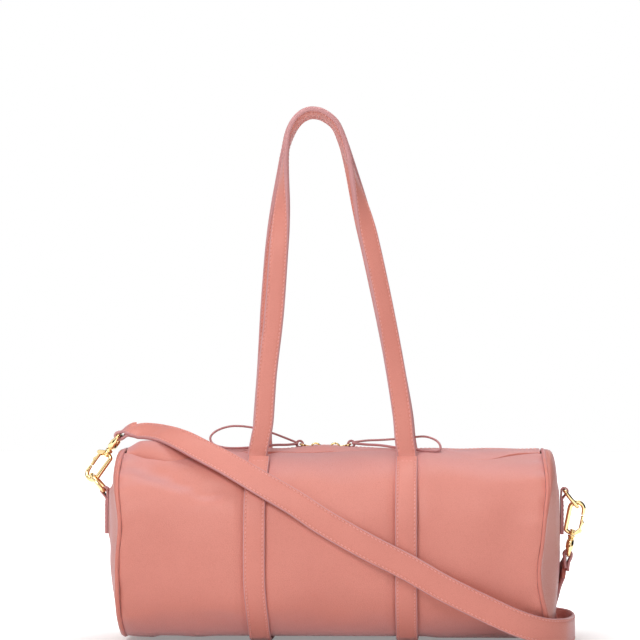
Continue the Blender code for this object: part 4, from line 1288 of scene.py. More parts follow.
@dataclass(frozen=True)
class StrapSection:
    """Section of a sewn leather strap: crowned faces, stitch grooves and painted edges."""

    width: float
    thickness: float
    corner: float = 0.0007
    stitch_inset: float = 0.0017
    groove: float = 0.00024
    crown: float = 0.00016

    def outline(self) -> tuple[Array, Array]:
        """Section points with the material slot of the span after each one.

        A face's height is half the thickness, plus a crown that falls with the square of the
        distance from the middle, less a narrow groove at the stitches.

        Returns:
            The points and the slots: 0 leather, 1 painted edge.
        """
        half, flat = self.width / 2, self.width / 2 - self.corner
        seam = half - self.stitch_inset
        u = np.array([flat, seam + 0.0006, seam, seam - 0.0006, seam * 0.55, 0.0])
        u = np.concatenate([u, -u[-2::-1]])
        rise = (self.thickness / 2 + self.crown * (1 - (u / half) ** 2)
                - self.groove * np.exp(-((np.abs(u) - seam) / 0.0004) ** 2))
        top = np.stack([u, rise], axis=1)
        left = arc_points((-flat, 0.0), 1.0, math.pi / 2, 1.5 * math.pi, 6)[1:-1]
        left = np.stack([-flat + (left[:, 0] + flat) * self.corner,
                         left[:, 1] * self.thickness / 2], axis=1)
        points = np.vstack([top, left, -top, -left])
        slots = np.zeros(len(points), int)
        block = len(top) + len(left)
        slots[len(top) - 1:block] = 1
        slots[block + len(top) - 1:] = 1
        return points, slots

    def along(self, path: Array, across: Array, out: Array) -> Patch:
        """The strap: its outline carried along a path.

        Args:
            path: The strap's centre line.
            across: Unit vectors along its width.
            out: Unit normals of its outer face.

        Returns:
            The strap's surface.
        """
        points, slots = self.outline()
        return swept(points, path, across, out, slots=slots)

    def seams(self, path: Array, across: Array, out: Array,
              faces: tuple[float, ...] = (1.0, -1.0)) -> Patch:
        """Stitch rows along both edges, on the named faces.

        Args:
            path: The strap's centre line.
            across: Unit vectors along its width.
            out: Unit normals of its outer face.
            faces: 1 for the outer face, -1 for the inner one.

        Returns:
            The stitches.
        """
        seam = self.width / 2 - self.stitch_inset
        return merged([stitches(path + across * edge + out * (face * self.thickness / 2),
                                out * face)
                       for face in faces for edge in (-seam, seam)])


@dataclass
class Belts:
    """The two belts sewn round the body."""

    form: BodyForm
    palette: Palette
    thickness: float = 0.0020
    top_angle: float = math.radians(63.0)

    def bow(self, side: float, z: Array) -> Array:
        """How far a belt bows along X: the left one leans in towards its top and bottom."""
        if side > 0:
            return np.zeros_like(z)
        return 0.0012 * ease((z - 0.085) / 0.04) + 0.0020 * ease((0.045 - z) / 0.04)

    def build(self) -> None:
        """Both belts with their stitches."""
        form = self.form
        section = StrapSection(form.belt_width, self.thickness)
        angles = form.wrap_angles(self.top_angle, self.top_angle, 200)
        for side in Side:
            x = np.full_like(angles, side.value * form.belt_centre)
            floor = np.full_like(angles, form.belt_lift)
            y, z = form.section(angles, np.full_like(angles, GAP + self.thickness / 2), floor)
            path = np.stack([x + self.bow(side.value, z), y, z], axis=1)
            path[:, 2] = np.maximum(path[:, 2], self.thickness / 2 + section.crown)
            way = directions(path)
            across = np.broadcast_to(X_AXIS, path.shape)
            out = unit(np.cross(across, way))
            out *= np.sign((out * (path - [0.0, 0.0, form.height / 2])).sum(axis=1,
                                                                           keepdims=True))
            across = unit(np.cross(way, out))
            finished("belt_" + side.word, section.along(path, across, out), self.palette.strap,
                     replaces=("belt_strap_" + side.word,))
            rows = section.seams(path[3:-3], across[3:-3], out[3:-3], (1.0,))
            for end in (4, -5):
                seam = section.width / 2 - section.stitch_inset
                spots = np.linspace(-seam, seam, 12)[:, None]
                line = path[end] + across[end] * spots + out[end] * self.thickness / 2
                rows = rows.joined(stitches(line, np.broadcast_to(out[end], line.shape)))
            finished("belt_stitches_" + side.word, rows, [self.palette.thread])


@dataclass
class Handles:
    """The two tall handles, hinged at their sewn feet."""

    palette: Palette
    spacing: float = 0.098
    width: float = 0.0130
    thickness: float = 0.0034
    rise: float = 0.2271
    top_offset: float = 0.0067
    top_tilt: float = math.radians(17.0)
    foot_y: float = 0.030886
    foot_z: float = 0.123057
    twist_start: float = 0.52
    twist_end: float = 0.94
    right_twist: float = math.radians(22.0)
    front_arch: tuple[tuple[float, float], ...] = (
        (-1.000, 0.000), (-0.962, 0.045), (-0.922, 0.091), (-0.902, 0.160), (-0.881, 0.230),
        (-0.847, 0.299), (-0.808, 0.372), (-0.778, 0.448), (-0.742, 0.574), (-0.715, 0.653),
        (-0.690, 0.729), (-0.667, 0.814), (-0.649, 0.867), (-0.626, 0.906), (-0.592, 0.935),
        (-0.540, 0.961), (-0.463, 0.983), (-0.375, 0.996), (-0.273, 1.000), (-0.140, 0.993),
        (0.010, 0.967), (0.105, 0.926), (0.183, 0.877), (0.304, 0.782), (0.487, 0.626),
        (0.682, 0.433), (0.838, 0.252), (0.936, 0.118), (0.968, 0.045), (1.000, 0.000))
    back_arch: tuple[tuple[float, float], ...] = (
        (-1.000, 0.000), (-1.012, 0.045), (-1.006, 0.090), (-0.980, 0.159), (-0.952, 0.231),
        (-0.930, 0.302), (-0.909, 0.376), (-0.885, 0.453), (-0.835, 0.579), (-0.797, 0.659),
        (-0.761, 0.735), (-0.722, 0.820), (-0.694, 0.873), (-0.664, 0.905), (-0.624, 0.934),
        (-0.567, 0.961), (-0.484, 0.983), (-0.388, 0.996), (-0.286, 1.000), (-0.150, 0.993),
        (0.009, 0.967), (0.099, 0.926), (0.173, 0.877), (0.287, 0.782), (0.460, 0.626),
        (0.652, 0.433), (0.820, 0.252), (0.931, 0.118), (0.967, 0.045), (1.000, 0.000))

    def lines(self, face: float) -> tuple[Array, Array, Array]:
        """Centre line of a handle with its across and outward vectors.

        The strap's face looks to the front or back low down and outwards over the arch: its
        normal turns by a quarter as the height share goes from twist_start to twist_end, and
        on the right leg by right_twist before that.

        Args:
            face: Sign of the handle's side.

        Returns:
            Path, across and out arrays.
        """
        shares = np.array(self.back_arch if face > 0 else self.front_arch)
        across, up = shares[:, 0], shares[:, 1]
        top, foot = face * self.top_offset, face * self.foot_y
        nodes = np.stack([across * self.spacing / 2, top + (foot - top)
                          * (1.0 - up) ** 1.3, self.foot_z + up * self.rise], axis=1)
        path = spline_points(nodes, 14)
        way = directions(path)
        share = (path[:, 2:] - self.foot_z) / self.rise
        along = np.linspace(0.0, 1.0, len(path))[:, None]
        over = math.pi / 2 - face * self.top_tilt * ease((along - 0.42) / 0.10)
        turn = over * ease((share - self.twist_start) / (self.twist_end - self.twist_start))
        early = self.right_twist * ease((share - 0.12) / 0.30) * (along > 0.5)
        turn = np.maximum(turn, early)
        flat = unit(np.stack([-way[:, 2], np.zeros(len(way)), way[:, 0]], axis=1))
        normal = flat * np.sin(turn) + np.array([0.0, face, 0.0]) * np.cos(turn)
        side = unit(np.cross(way, normal))
        return path, side, np.cross(side, way)

    def build(self) -> None:
        """Both handles and their stitches, each with a short tail at its feet, then taken off
        their bodies.
        """
        section = StrapSection(self.width, self.thickness, corner=0.0010, crown=0.00025)
        for face in Face:
            body = face.word + "_handle"
            path, side, out = self.lines(face.value)
            tail = np.array([0.0, face.value * 0.45, -0.9]) * 0.0035
            path = np.vstack([path[:1] + tail, path, path[-1:] + tail])
            side = np.vstack([side[:1], side, side[-1:]])
            out = np.vstack([out[:1], out, out[-1:]])
            strap = finished("tall_handle_" + face.word, section.along(path, side, out),
                             self.palette.strap, body=body,
                             replaces=("handle_" + face.word,))
            rows = section.seams(path[2:-2], side[2:-2], out[2:-2])
            thread = finished("handle_stitches_" + face.word, rows, [self.palette.thread],
                              body=body)
            for piece in (strap, thread):
                self.bend_foot(piece)

    def bend_foot(self, piece: bpy.types.Object) -> None:
        """Take a piece off its body and bake its placement into its mesh.

        Args:
            piece: The piece.
        """
        piece.parent = None
        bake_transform(piece)


@dataclass
class ShoulderStrap:
    """The long strap from hook to hook."""

    palette: Palette
    width: float = 0.0170
    thickness: float = 0.0024
    length: float = 1.0796
    route: tuple[tuple[tuple[float, float, float], tuple[float, float, float]], ...] = (
        ((-0.1387, 0.0000, 0.1384), (-0.16, -0.16, 0.97)),
        ((-0.1336, -0.0003, 0.1383), (-0.12, -0.38, 0.92)),
        ((-0.1268, -0.0020, 0.1381), (-0.05, -0.58, 0.81)),
        ((-0.1182, -0.0088, 0.1374), (0.00, -0.65, 0.76)),
        ((-0.1090, -0.0185, 0.1358), (0.02, -0.68, 0.73)),
        ((-0.0980, -0.0290, 0.1320), (0.02, -0.76, 0.65)),
        ((-0.0840, -0.0395, 0.1254), (0.02, -0.81, 0.59)),
        ((-0.0680, -0.0490, 0.1178), (0.01, -0.84, 0.54)),
        ((-0.0523, -0.0572, 0.1092), (0.00, -0.87, 0.49)),
        ((-0.0403, -0.0614, 0.1025), (0.00, -0.90, 0.43)),
        ((-0.0220, -0.0655, 0.0921), (0.00, -0.94, 0.34)),
        ((-0.0031, -0.0678, 0.0798), (0.00, -0.98, 0.20)),
        ((0.0230, -0.0694, 0.0653), (0.00, -1.00, 0.06)),
        ((0.0498, -0.0706, 0.0518), (0.02, -1.00, -0.02)),
        ((0.0730, -0.0710, 0.0386), (0.05, -1.00, -0.03)),
        ((0.0994, -0.0700, 0.0255), (0.12, -0.99, -0.02)),
        ((0.1200, -0.0665, 0.0160), (0.26, -0.96, 0.00)),
        ((0.1378, -0.0578, 0.0103), (0.55, -0.83, 0.00)),
        ((0.1502, -0.0438, 0.0089), (0.80, -0.60, 0.00)),
        ((0.1562, -0.0225, 0.0087), (0.96, -0.28, 0.00)),
        ((0.1584, 0.0010, 0.0087), (1.00, -0.04, 0.00)),
        ((0.1580, 0.0250, 0.0087), (0.99, 0.14, 0.00)),
        ((0.1552, 0.0470, 0.0087), (0.94, 0.34, 0.00)),
        ((0.1450, 0.0710, 0.0087), (0.78, 0.62, 0.00)),
        ((0.1280, 0.0890, 0.0087), (0.50, 0.87, 0.00)),
        ((0.1000, 0.0985, 0.0087), (0.20, 0.98, 0.00)),
        ((0.0550, 0.1030, 0.0087), (0.06, 1.00, 0.00)),
        ((0.0000, 0.1035, 0.0087), (0.00, 1.00, 0.00)),
        ((-0.0550, 0.1020, 0.0087), (-0.04, 1.00, 0.00)),
        ((-0.0900, 0.1000, 0.0087), (-0.08, 1.00, 0.00)),
        ((-0.1060, 0.0955, 0.0087), (-0.50, 0.87, 0.00)),
        ((-0.1130, 0.0860, 0.0087), (-1.00, 0.10, 0.00)),
        ((-0.1065, 0.0765, 0.0087), (-0.50, -0.87, 0.00)),
        ((-0.0900, 0.0720, 0.0087), (-0.08, -1.00, 0.00)),
        ((-0.0400, 0.0705, 0.0087), (0.00, -1.00, 0.00)),
        ((0.0200, 0.0705, 0.0087), (0.00, -1.00, 0.00)),
        ((0.0750, 0.0715, 0.0087), (-0.02, -1.00, 0.00)),
        ((0.1080, 0.0705, 0.0092), (-0.12, -0.99, 0.00)),
        ((0.1310, 0.0655, 0.0110), (-0.42, -0.90, 0.00)),
        ((0.1460, 0.0550, 0.0145), (-0.80, -0.60, 0.00)),
        ((0.1450, 0.0440, 0.0198), (-0.94, -0.34, 0.00)),
        ((0.1458, 0.0340, 0.0262), (-0.96, -0.28, 0.00)),
        ((0.1477, 0.0235, 0.0335), (-0.97, -0.22, 0.03)),
        ((0.1500, 0.0115, 0.0412), (-0.99, -0.10, 0.08)),
        ((0.1527, 0.0000, 0.0483), (-1.00, 0.00, 0.09)))

    def build(self) -> None:
        """The strap with its stitches."""
        places = spline_points(np.array([place for place, _ in self.route]), 12)
        facings = unit(spline_points(np.array([facing for _, facing in self.route]), 12))
        way = directions(places)
        across = unit(np.cross(way, facings))
        out = np.cross(across, way)
        section = StrapSection(self.width, self.thickness)
        strap = finished("shoulder_strap", section.along(places, across, out),
                         self.palette.strap, replaces=("crossbody_strap",))
        rows = section.seams(places, across, out)
        thread = finished("shoulder_strap_stitches", rows, [self.palette.thread])


# ---------------------------------------------------------------- zip


@dataclass
class ZipUnit:
    """The zip on top: leather bands, cloth tapes, teeth and two sliders with laced pulls."""

    form: BodyForm
    palette: Palette
    meeting_x: float = -0.0057
    slider_length: float = 0.0100
    head_gap: float = 0.0028
    tooth_z: float = 0.12335
    bail_z: float = 0.12675
    pitch: float = 0.0030
    mouth: float = 0.0065
    spine: float = 0.0025
    reach: float = 0.1361
    band_thickness: float = 0.0018
    stitch_column: int = 22
    tape_edge: float = 0.0170
    tape_thickness: float = 0.0007
    tape_drop: float = 0.0023
    left_lace: tuple[tuple[float, float, float], ...] = (
        (-0.0238, -0.0004, 0.1300), (-0.0330, -0.0030, 0.1338), (-0.0430, -0.0050, 0.1375),
        (-0.0550, -0.0070, 0.1406), (-0.0670, -0.0090, 0.1414), (-0.0765, -0.0110, 0.1388),
        (-0.0813, -0.0135, 0.1342), (-0.0790, -0.0165, 0.1295), (-0.0710, -0.0185, 0.1272),
        (-0.0610, -0.0180, 0.1270), (-0.0500, -0.0140, 0.1278), (-0.0390, -0.0090, 0.1289),
        (-0.0310, -0.0050, 0.1290), (-0.0240, -0.0008, 0.1296))
    right_lace: tuple[tuple[float, float, float], ...] = (
        (0.0120, 0.0002, 0.1306), (0.0220, -0.0005, 0.1318), (0.0310, -0.0030, 0.1322),
        (0.0420, -0.0060, 0.1330), (0.0530, -0.0100, 0.1342), (0.0610, -0.0150, 0.1346),
        (0.0675, -0.0205, 0.1325), (0.0707, -0.0250, 0.1290), (0.0700, -0.0275, 0.1258),
        (0.0640, -0.0270, 0.1254), (0.0540, -0.0230, 0.1262), (0.0420, -0.0175, 0.1274),
        (0.0310, -0.0110, 0.1288), (0.0220, -0.0055, 0.1292), (0.0122, -0.0004, 0.1300))

    def hump(self, x: Array) -> Array:
        """Rise of the bands over the sliders: a bell round the meeting point."""
        return 0.0024 * np.exp(-((x - self.meeting_x - 0.002) / 0.021) ** 2)

    def spread(self, x: Array) -> Array:
        """How far the teeth part round the sliders: 1.5 mm, eased out to 10.5 mm away."""
        return 0.0015 * ease((0.0105 - np.abs(x - self.meeting_x)) / 0.0063)

    def bands(self) -> None:
        """The leather band on each side of the teeth, with a row of stitches."""
        form = self.form
        x = np.linspace(-self.reach, self.reach, 240)[:, None]
        share = np.linspace(0.0, 1.0, 26)[None, :]
        for face in Face:
            seam = form.front_seam(x) if face is Face.FRONT else form.zip_seam
            outer_edge = seam - GAP
            width = outer_edge + (self.mouth - outer_edge) * share
            angle = form.edge_angle(width)
            _, z = form.section(angle, np.zeros_like(angle), np.zeros_like(angle))
            puff = (0.0064 * np.exp(-((x + 0.117) / 0.026) ** 2) * (face is Face.FRONT)
                    * ease((x + 0.1400) / 0.013))
            ridge = (0.0009 + puff) * np.sin(math.pi * share) ** 0.7
            end = 1.0 - ease((np.abs(x) - 0.118) / 0.018)
            z = z + ridge + self.hump(x) * ease(share / 0.8) * end
            z = z + 0.00025 * np.cos(160 * x + 3 * share)
            grid = np.stack([np.broadcast_to(x, z.shape),
                             np.broadcast_to(face.value * width, z.shape), z], axis=2)
            inner = grid - Z_AXIS * self.band_thickness
            finished("zip_leather_" + face.word, walled(grid, inner), [self.palette.hide],
                     replaces=("zip_band_" + face.word,))
            line = grid[:, self.stitch_column]
            rows = stitches(line, np.broadcast_to(Z_AXIS, line.shape))
            finished("zip_stitches_" + face.word, rows, [self.palette.thread])

    def tapes(self) -> None:
        """The cloth tapes under the bands."""
        form = self.form
        x = np.linspace(-self.reach, self.reach, 200)[:, None]
        share = np.linspace(0.0, 1.0, 8)[None, :]
        for face in Face:
            inner_edge = self.spine + GAP + self.spread(x)
            width = self.tape_edge + (inner_edge - self.tape_edge) * share
            angle = form.edge_angle(width)
            _, z = form.section(angle, np.full_like(angle, -self.tape_drop),
                                np.zeros_like(angle))
            grid = np.stack([np.broadcast_to(x, z.shape), face.value * width, z], axis=2)
            under = grid - Z_AXIS * self.tape_thickness
            finished("zip_cloth_" + face.word, walled(grid, under), [self.palette.tape],
                     replaces=("zip_tape_" + face.word,))

    def teeth(self) -> None:
        """Both rows of teeth: each a leg on the tape, a neck and a nub past the middle."""
        rings = np.array([[0.0026, 0.00062, 0.00105], [0.0010, 0.00055, 0.0010],
                          [0.0002, 0.00078, 0.0011], [-0.0006, 0.00072, 0.0010],
                          [-0.0009, 0.00035, 0.0006]])
        section = rounded(2.0, 2.0, 0.5, 1)
        template = np.stack([
            section[None, :, 0] * rings[:, 1:2],
            np.broadcast_to(rings[:, :1], (len(rings), len(section))),
            section[None, :, 1] * rings[:, 2:]], axis=2).reshape(-1, 3)
        for face in Face:
            offset = self.pitch / 2 if face.value > 0 else 0.0
            x = np.arange(-0.1338, 0.1320, self.pitch) + offset
            points = template[None] * [1.0, face.value, 1.0]
            points = points + np.stack([x, face.value * self.spread(x),
                                        np.full_like(x, self.tooth_z)], axis=1)[:, None]
            finished("zip_tooth_row_" + face.word, copies(points, len(rings), len(section)),
                     [self.palette.gold], replaces=("zip_teeth_" + face.word,))

    def slider_x(self, side: Side) -> float:
        """Middle of a slider along the bag."""
        return self.meeting_x + side.value * (self.head_gap / 2 + self.slider_length / 2)

    def slider(self, side: Side) -> None:
        """A slider: two crowned plates, a post between them and a bail on top.

        Args:
            side: Which slider.
        """
        way = side.value
        centre = self.slider_x(side)
        half = self.slider_length / 2
        share = np.linspace(-1.0, 1.0, 15)
        width = 0.0036 + 0.0015 * ease((share + 0.6) / 1.3) - 0.0012 * np.abs(share) ** 8
        top = np.stack([share * half, width], axis=1)
        outline = np.vstack([top[::-1], top * [1.0, -1.0]])
        turn = np.eye(4)
        turn[0, 0] = turn[1, 1] = -way
        turn[:3, 3] = [centre, 0.0, self.tooth_z]
        patch = plate(outline, 0.0014, 0.0025, 0.0003, 0.0002).placed(turn)
        patch = patch.joined(plate(outline, -0.0025, -0.0014, 0.0003).placed(turn))
        post = rounded(0.0032, 0.0008, 0.00035, 2) + [half * 0.62, 0.0]
        patch = patch.joined(plate(post, -0.0016, 0.0016, 0.0001).placed(turn))
        arch = arc_points((0.0, 0.0), 0.0032, -0.25, math.pi + 0.25, 26)
        path = np.stack([centre + arch[:, 0], np.zeros(len(arch)),
                         self.bail_z + arch[:, 1]], axis=1)
        across = np.broadcast_to(Y_AXIS, path.shape)
        out = np.cross(across, directions(path))
        patch = patch.joined(swept(circle(0.0007, 12, 0.9), path, across, out))
        finished("slider_body_" + side.word, patch, [self.palette.gold],
                 body="slider_" + side.word, replaces=("zip_slider_" + side.word,))

    def pull_place(self, side: Side) -> Array:
        """Matrix of a pull: local X points away from the meeting point, raised 14 degrees.

        Args:
            side: Which pull.

        Returns:
            A 4x4 matrix.
        """
        way = side.value
        centre = self.slider_x(side)
        cosine, sine = math.cos(math.radians(14.0)), math.sin(math.radians(14.0))
        place = np.eye(4)
        place[:3, 0] = [way * cosine, 0.0, sine]
        place[:3, 1] = [0.0, way, 0.0]
        place[:3, 2] = [-way * sine, 0.0, cosine]
        place[:3, 3] = [centre, 0.0, self.bail_z]
        return place

    def pull(self, side: Side) -> None:
        """A pull with its hitch and lace.

        Args:
            side: Which pull.
        """
        place = self.pull_place(side)
        body = "pull_" + side.word
        outer = rounded(0.0052, 0.0046, 0.0012, 5) + [0.0033, 0.0]
        inner = rounded(0.0030, 0.0022, 0.0006, 5) + [0.0033, 0.0]
        patch = annulus(outer, inner, -0.0006, 0.0006, 0.00022).placed(place)
        rim = circle(0.0024, 28) + [0.0088, 0.0]
        hole = circle(0.0013, 28) + [0.0088, 0.0]
        patch = patch.joined(annulus(rim, hole, -0.0006, 0.0006, 0.00022).placed(place))
        bridge = rounded(0.0022, 0.0026, 0.0006, 3) + [0.0064, 0.0]
        patch = patch.joined(plate(bridge, -0.00055, 0.00055, 0.0002).placed(place))
        finished("pull_link_" + side.word, patch, [self.palette.gold], body=body,
                 replaces=("zip_pull_" + side.word,))
        turn = full_turn(30)
        knot = np.stack([0.0111 + 0.0021 * np.cos(turn), 0.0005 * np.sin(2 * turn),
                         0.0021 * np.sin(turn)], axis=1)
        knot = knot @ place[:3, :3].T + place[:3, 3]
        across, out = steady_frame(knot, closed=True)
        patch = swept(circle(0.00080, 12), knot, across, out, closed=True)
        finished("lace_knot_" + side.word, patch, [self.palette.lace], body=body,
                 replaces=("lace_hitch_" + side.word,))
        route = self.left_lace if side is Side.LEFT else self.right_lace
        path = spline_points(np.array(route), 10)
        across, out = steady_frame(path)
        patch = swept(circle(0.00085, 12, 0.85), path, across, out)
        finished("lace_loop_" + side.word, patch, [self.palette.lace], body=body,
                 replaces=("lace_" + side.word,))

    def build(self) -> None:
        """Build the whole zip."""
        self.bands()
        self.tapes()
        self.teeth()
        for side in Side:
            self.slider(side)
            self.pull(side)


# ---------------------------------------------------------------- clasps


@dataclass
class Clasp:
    """Everything from an end's leather tab to the strap's folded end."""

    side: Side
    form: BodyForm
    palette: Palette
    ring_angle: float
    tilt: float
    swivel: float
    tail_angle: float
    strap_side: float
    strap_twist: float = 0.0
    strap_offset: float = 0.0035
    tab_top: float = 0.0985
    tab_bottom: float = 0.0700
    tab_width: float = 0.0150
    tab_leather: float = 0.0010
    ring_wire: float = 0.0013
    ring_width: float = 0.0168
    ring_depth: float = 0.0136
    wire: float = 0.0016
    half_width: float = 0.0046
    length: float = 0.0218
    collar_radius: float = 0.0029
    collar_height: float = 0.0024
    pivot_height: float = 0.0036
    gate_end: float = 0.0139
    eye_wire: float = 0.0012
    eye_reach: float = 0.0134
    eye_corner: float = 0.0017
    strap_width: float = 0.0170
    fold_leather: float = 0.0018

    def bar(self) -> Array:
        """Centre of the D-ring's straight bar."""
        out = self.form.half_length + self.form.end_reach + GAP + 2 * self.tab_leather
        return np.array([self.side.value * (out + self.ring_wire * 0.6), 0.0, self.tab_top])

    def hook_place(self, swivel: float) -> Array:
        """Matrix of the hook: local X to its nose, Z to its gate, turned about X by a swivel.

        Args:
            swivel: Turn about the hook's own length.

        Returns:
            A 4x4 matrix.
        """
        bow = self.bar() + np.array([math.cos(self.ring_angle), 0.0,
                                     math.sin(self.ring_angle)]) * self.ring_depth
        along = np.array([math.cos(self.tilt), 0.0, math.sin(self.tilt)])
        gate = np.array([along[2], 0.0, -along[0]])
        place = np.eye(4)
        place[:3, 0], place[:3, 1], place[:3, 2] = along, np.cross(gate, along), gate
        seat = self.length - self.wire - self.ring_wire - GAP
        place[:3, 3] = bow - along * seat
        spin = np.eye(4)
        cosine, sine = math.cos(swivel), math.sin(swivel)
        spin[1:3, 1:3] = [[cosine, -sine], [sine, cosine]]
        return place @ spin

    def tab(self) -> None:
        """The doubled tab, one strip folded over the ring's bar."""
        form, way = self.form, self.side.value
        bar_out = abs(self.bar()[0])
        radius = self.ring_wire + GAP + self.tab_leather / 2
        low = np.linspace(self.tab_bottom, self.tab_top - 0.0050, 14)
        inner = np.stack([[form.end_out(z) + GAP + self.tab_leather / 2 for z in low], low],
                         axis=1)
        over = arc_points((bar_out, self.tab_top), radius, math.pi * 0.95, -0.35, 14)
        outer = inner[::-1] + [self.tab_leather, 0.0]
        flat = spline_points(np.vstack([inner, over, outer]), 4)
        path = np.stack([way * flat[:, 0], np.zeros(len(flat)), flat[:, 1]], axis=1)
        across = np.broadcast_to(Y_AXIS, path.shape)
        out = unit(np.cross(across, directions(path)))
        section = StrapSection(self.tab_width, self.tab_leather, corner=0.0003,
                               groove=0.00008, crown=0.00005)
        finished("end_tab_" + self.side.word, section.along(path, across, out),
                 self.palette.strap, replaces=("ring_tab_" + self.side.word,))
        seam = self.tab_width / 2 - 0.0017
        shell = np.stack([way * (outer[::-1, 0] + self.tab_leather / 2), outer[::-1, 1]], axis=1)
        spots = np.linspace(-seam, seam, 10)
        lines = [np.insert(shell[1:-1], 1, edge, axis=1) for edge in (-seam, seam)]
        lines += [np.insert(np.tile(shell[index], (10, 1)), 1, spots, axis=1)
                  for index in (1, -2)]
        rows = merged([stitches(line, np.broadcast_to(X_AXIS * way, line.shape))
                       for line in lines])
        finished("tab_stitches_" + self.side.word, rows, [self.palette.thread])

    def ring(self) -> None:
        """The D-ring: a straight bar and a round bow, swept with a round wire."""
        half = self.ring_width / 2 + self.ring_wire
        corner = self.ring_wire * 1.5
        bow = self.ring_depth - half
        flat = np.vstack([
            np.stack([np.zeros(9), np.linspace(half - corner, -half + corner, 9)], axis=1),
            arc_points((corner, -half + corner), corner, math.pi, 1.5 * math.pi, 5)[1:],
            arc_points((bow, 0.0), half, -math.pi / 2, math.pi / 2, 30)[1:],
            arc_points((corner, half - corner), corner, math.pi / 2, math.pi, 5)[:-1]])
        flat = flat[np.linalg.norm(np.roll(flat, -1, axis=0) - flat, axis=1) > 5e-5]
        cosine, sine = math.cos(self.ring_angle), math.sin(self.ring_angle)
        path = self.bar() + np.stack([flat[:, 0] * cosine, flat[:, 1], flat[:, 0] * sine],
                                     axis=1)
        across, out = steady_frame(path, closed=True)
        patch = swept(circle(self.ring_wire, 16), path, across, out, closed=True)
        finished("gold_ring_" + self.side.word, patch, [self.palette.gold],
                 body="ring_" + self.side.word, replaces=("d_ring_" + self.side.word,))

    def hook(self) -> None:
        """The snap hook's body: a tapering wire on a turned collar, with two ears."""
        place = self.hook_place(self.swivel)
        half, bend = self.half_width, self.length - self.half_width
        line = np.vstack([
            [[self.collar_height * 0.4, -self.collar_radius * 0.55],
             [self.collar_height, -half * 0.95], [half, -half]],
            [[bend * 0.6, -half]], arc_points((bend, 0.0), half, -math.pi / 2, math.pi / 2, 8),
            [[self.gate_end + 0.0003, half]]])
        flat = spline_points(line, 7)
        share = run_lengths(flat) / run_lengths(flat)[-1]
        radius = self.wire * (0.80 + 0.19 * np.sin(math.pi * np.clip(share * 1.05, 0, 1)) ** 0.6
                              - 0.12 * ease((share - 0.88) / 0.12))
        path = np.insert(flat, 1, 0.0, axis=1)
        across = np.broadcast_to(Y_AXIS, path.shape)
        out = np.cross(across, directions(path))
        profile = circle(1.0, 16)[None] * radius[:, None, None]
        patch = swept(profile, path, across, out)
        r, h = self.collar_radius, self.collar_height
        ring = np.array([[0.0016, h], [r * 0.80, h], [r * 0.98, h * 0.86], [r, h * 0.66],
                         [r * 0.86, h * 0.52], [r * 0.86, h * 0.40], [r, h * 0.28],
                         [r * 0.94, h * 0.06], [r * 0.78, 0.0], [0.0016, 0.0], [0.0016, h]])
        patch = patch.joined(lathe(ring).placed(LATHE_ALONG))
        ear = np.vstack([[[h * 0.3, r * 0.45], [h * 0.9, r * 0.45]],
                         arc_points((self.pivot_height, half), 0.0015, math.radians(-60),
                                    math.radians(150), 10), [[h * 0.3, r * 0.9]]])
        for way in (-1.0, 1.0):
            low = way * 0.0020 - 0.0005
            patch = patch.joined(plate(ear, -low - 0.0010, -low, 0.00018).placed(LATHE_ACROSS))
        finished("snap_hook_" + self.side.word, patch.placed(place), [self.palette.gold],
                 body="hook_" + self.side.word,
                 replaces=("hook_body_" + self.side.word,))
        pin = np.array([[0.0, 0.0026], [0.0005, 0.00255], [0.0008, 0.0023], [0.0006, 0.0021],
                        [0.0006, -0.0021], [0.0008, -0.0023], [0.0005, -0.00255],
                        [0.0, -0.0026]])
        patch = lathe(pin, 16).placed(LATHE_ACROSS)
        patch.points = patch.points + [self.pivot_height, 0.0, half]
        finished("hook_pin_" + self.side.word, patch.placed(place), [self.palette.gold],
                 body="hook_" + self.side.word,
                 replaces=("gate_pin_" + self.side.word,))

    def gate(self) -> None:
        """The gate: a round-backed lever with a thumb rise, turning on the pin."""
        place = self.hook_place(self.swivel)
        size = self.gate_end - self.pivot_height
        share = np.linspace(0.0, 1.0, 30)
        path = np.stack([self.pivot_height + share * size, np.zeros(30),
                         np.full(30, self.half_width)], axis=1)
        thumb = 0.0011 * np.exp(-((share - 0.52) / 0.13) ** 2)
        low = np.full(30, -0.0009)
        high = 0.0009 + thumb
        round_off = np.sqrt(np.clip(1.0 - np.clip(1.0 - share / 0.08, 0, 1) ** 2, 0.05, 1))
        tip = np.sqrt(np.clip(1.0 - np.clip((share - 0.95) / 0.05, 0, 1) ** 2, 0.05, 1))
        section = rounded(2.0, 2.0, 0.6, 3)
        scale = round_off * tip
        profile = np.stack([
            section[None, :, 0] * 0.00115 * scale[:, None],
            ((high - low) / 2 * scale)[:, None] * section[None, :, 1]
            + ((high + low) / 2)[:, None]], axis=2)
        across = np.broadcast_to(Y_AXIS, path.shape)
        out = np.broadcast_to(Z_AXIS, path.shape)
        patch = swept(profile, path, across, out).placed(place)
        finished("gate_lever_" + self.side.word, patch, [self.palette.gold],
                 body="gate_" + self.side.word, replaces=("hook_gate_" + self.side.word,))

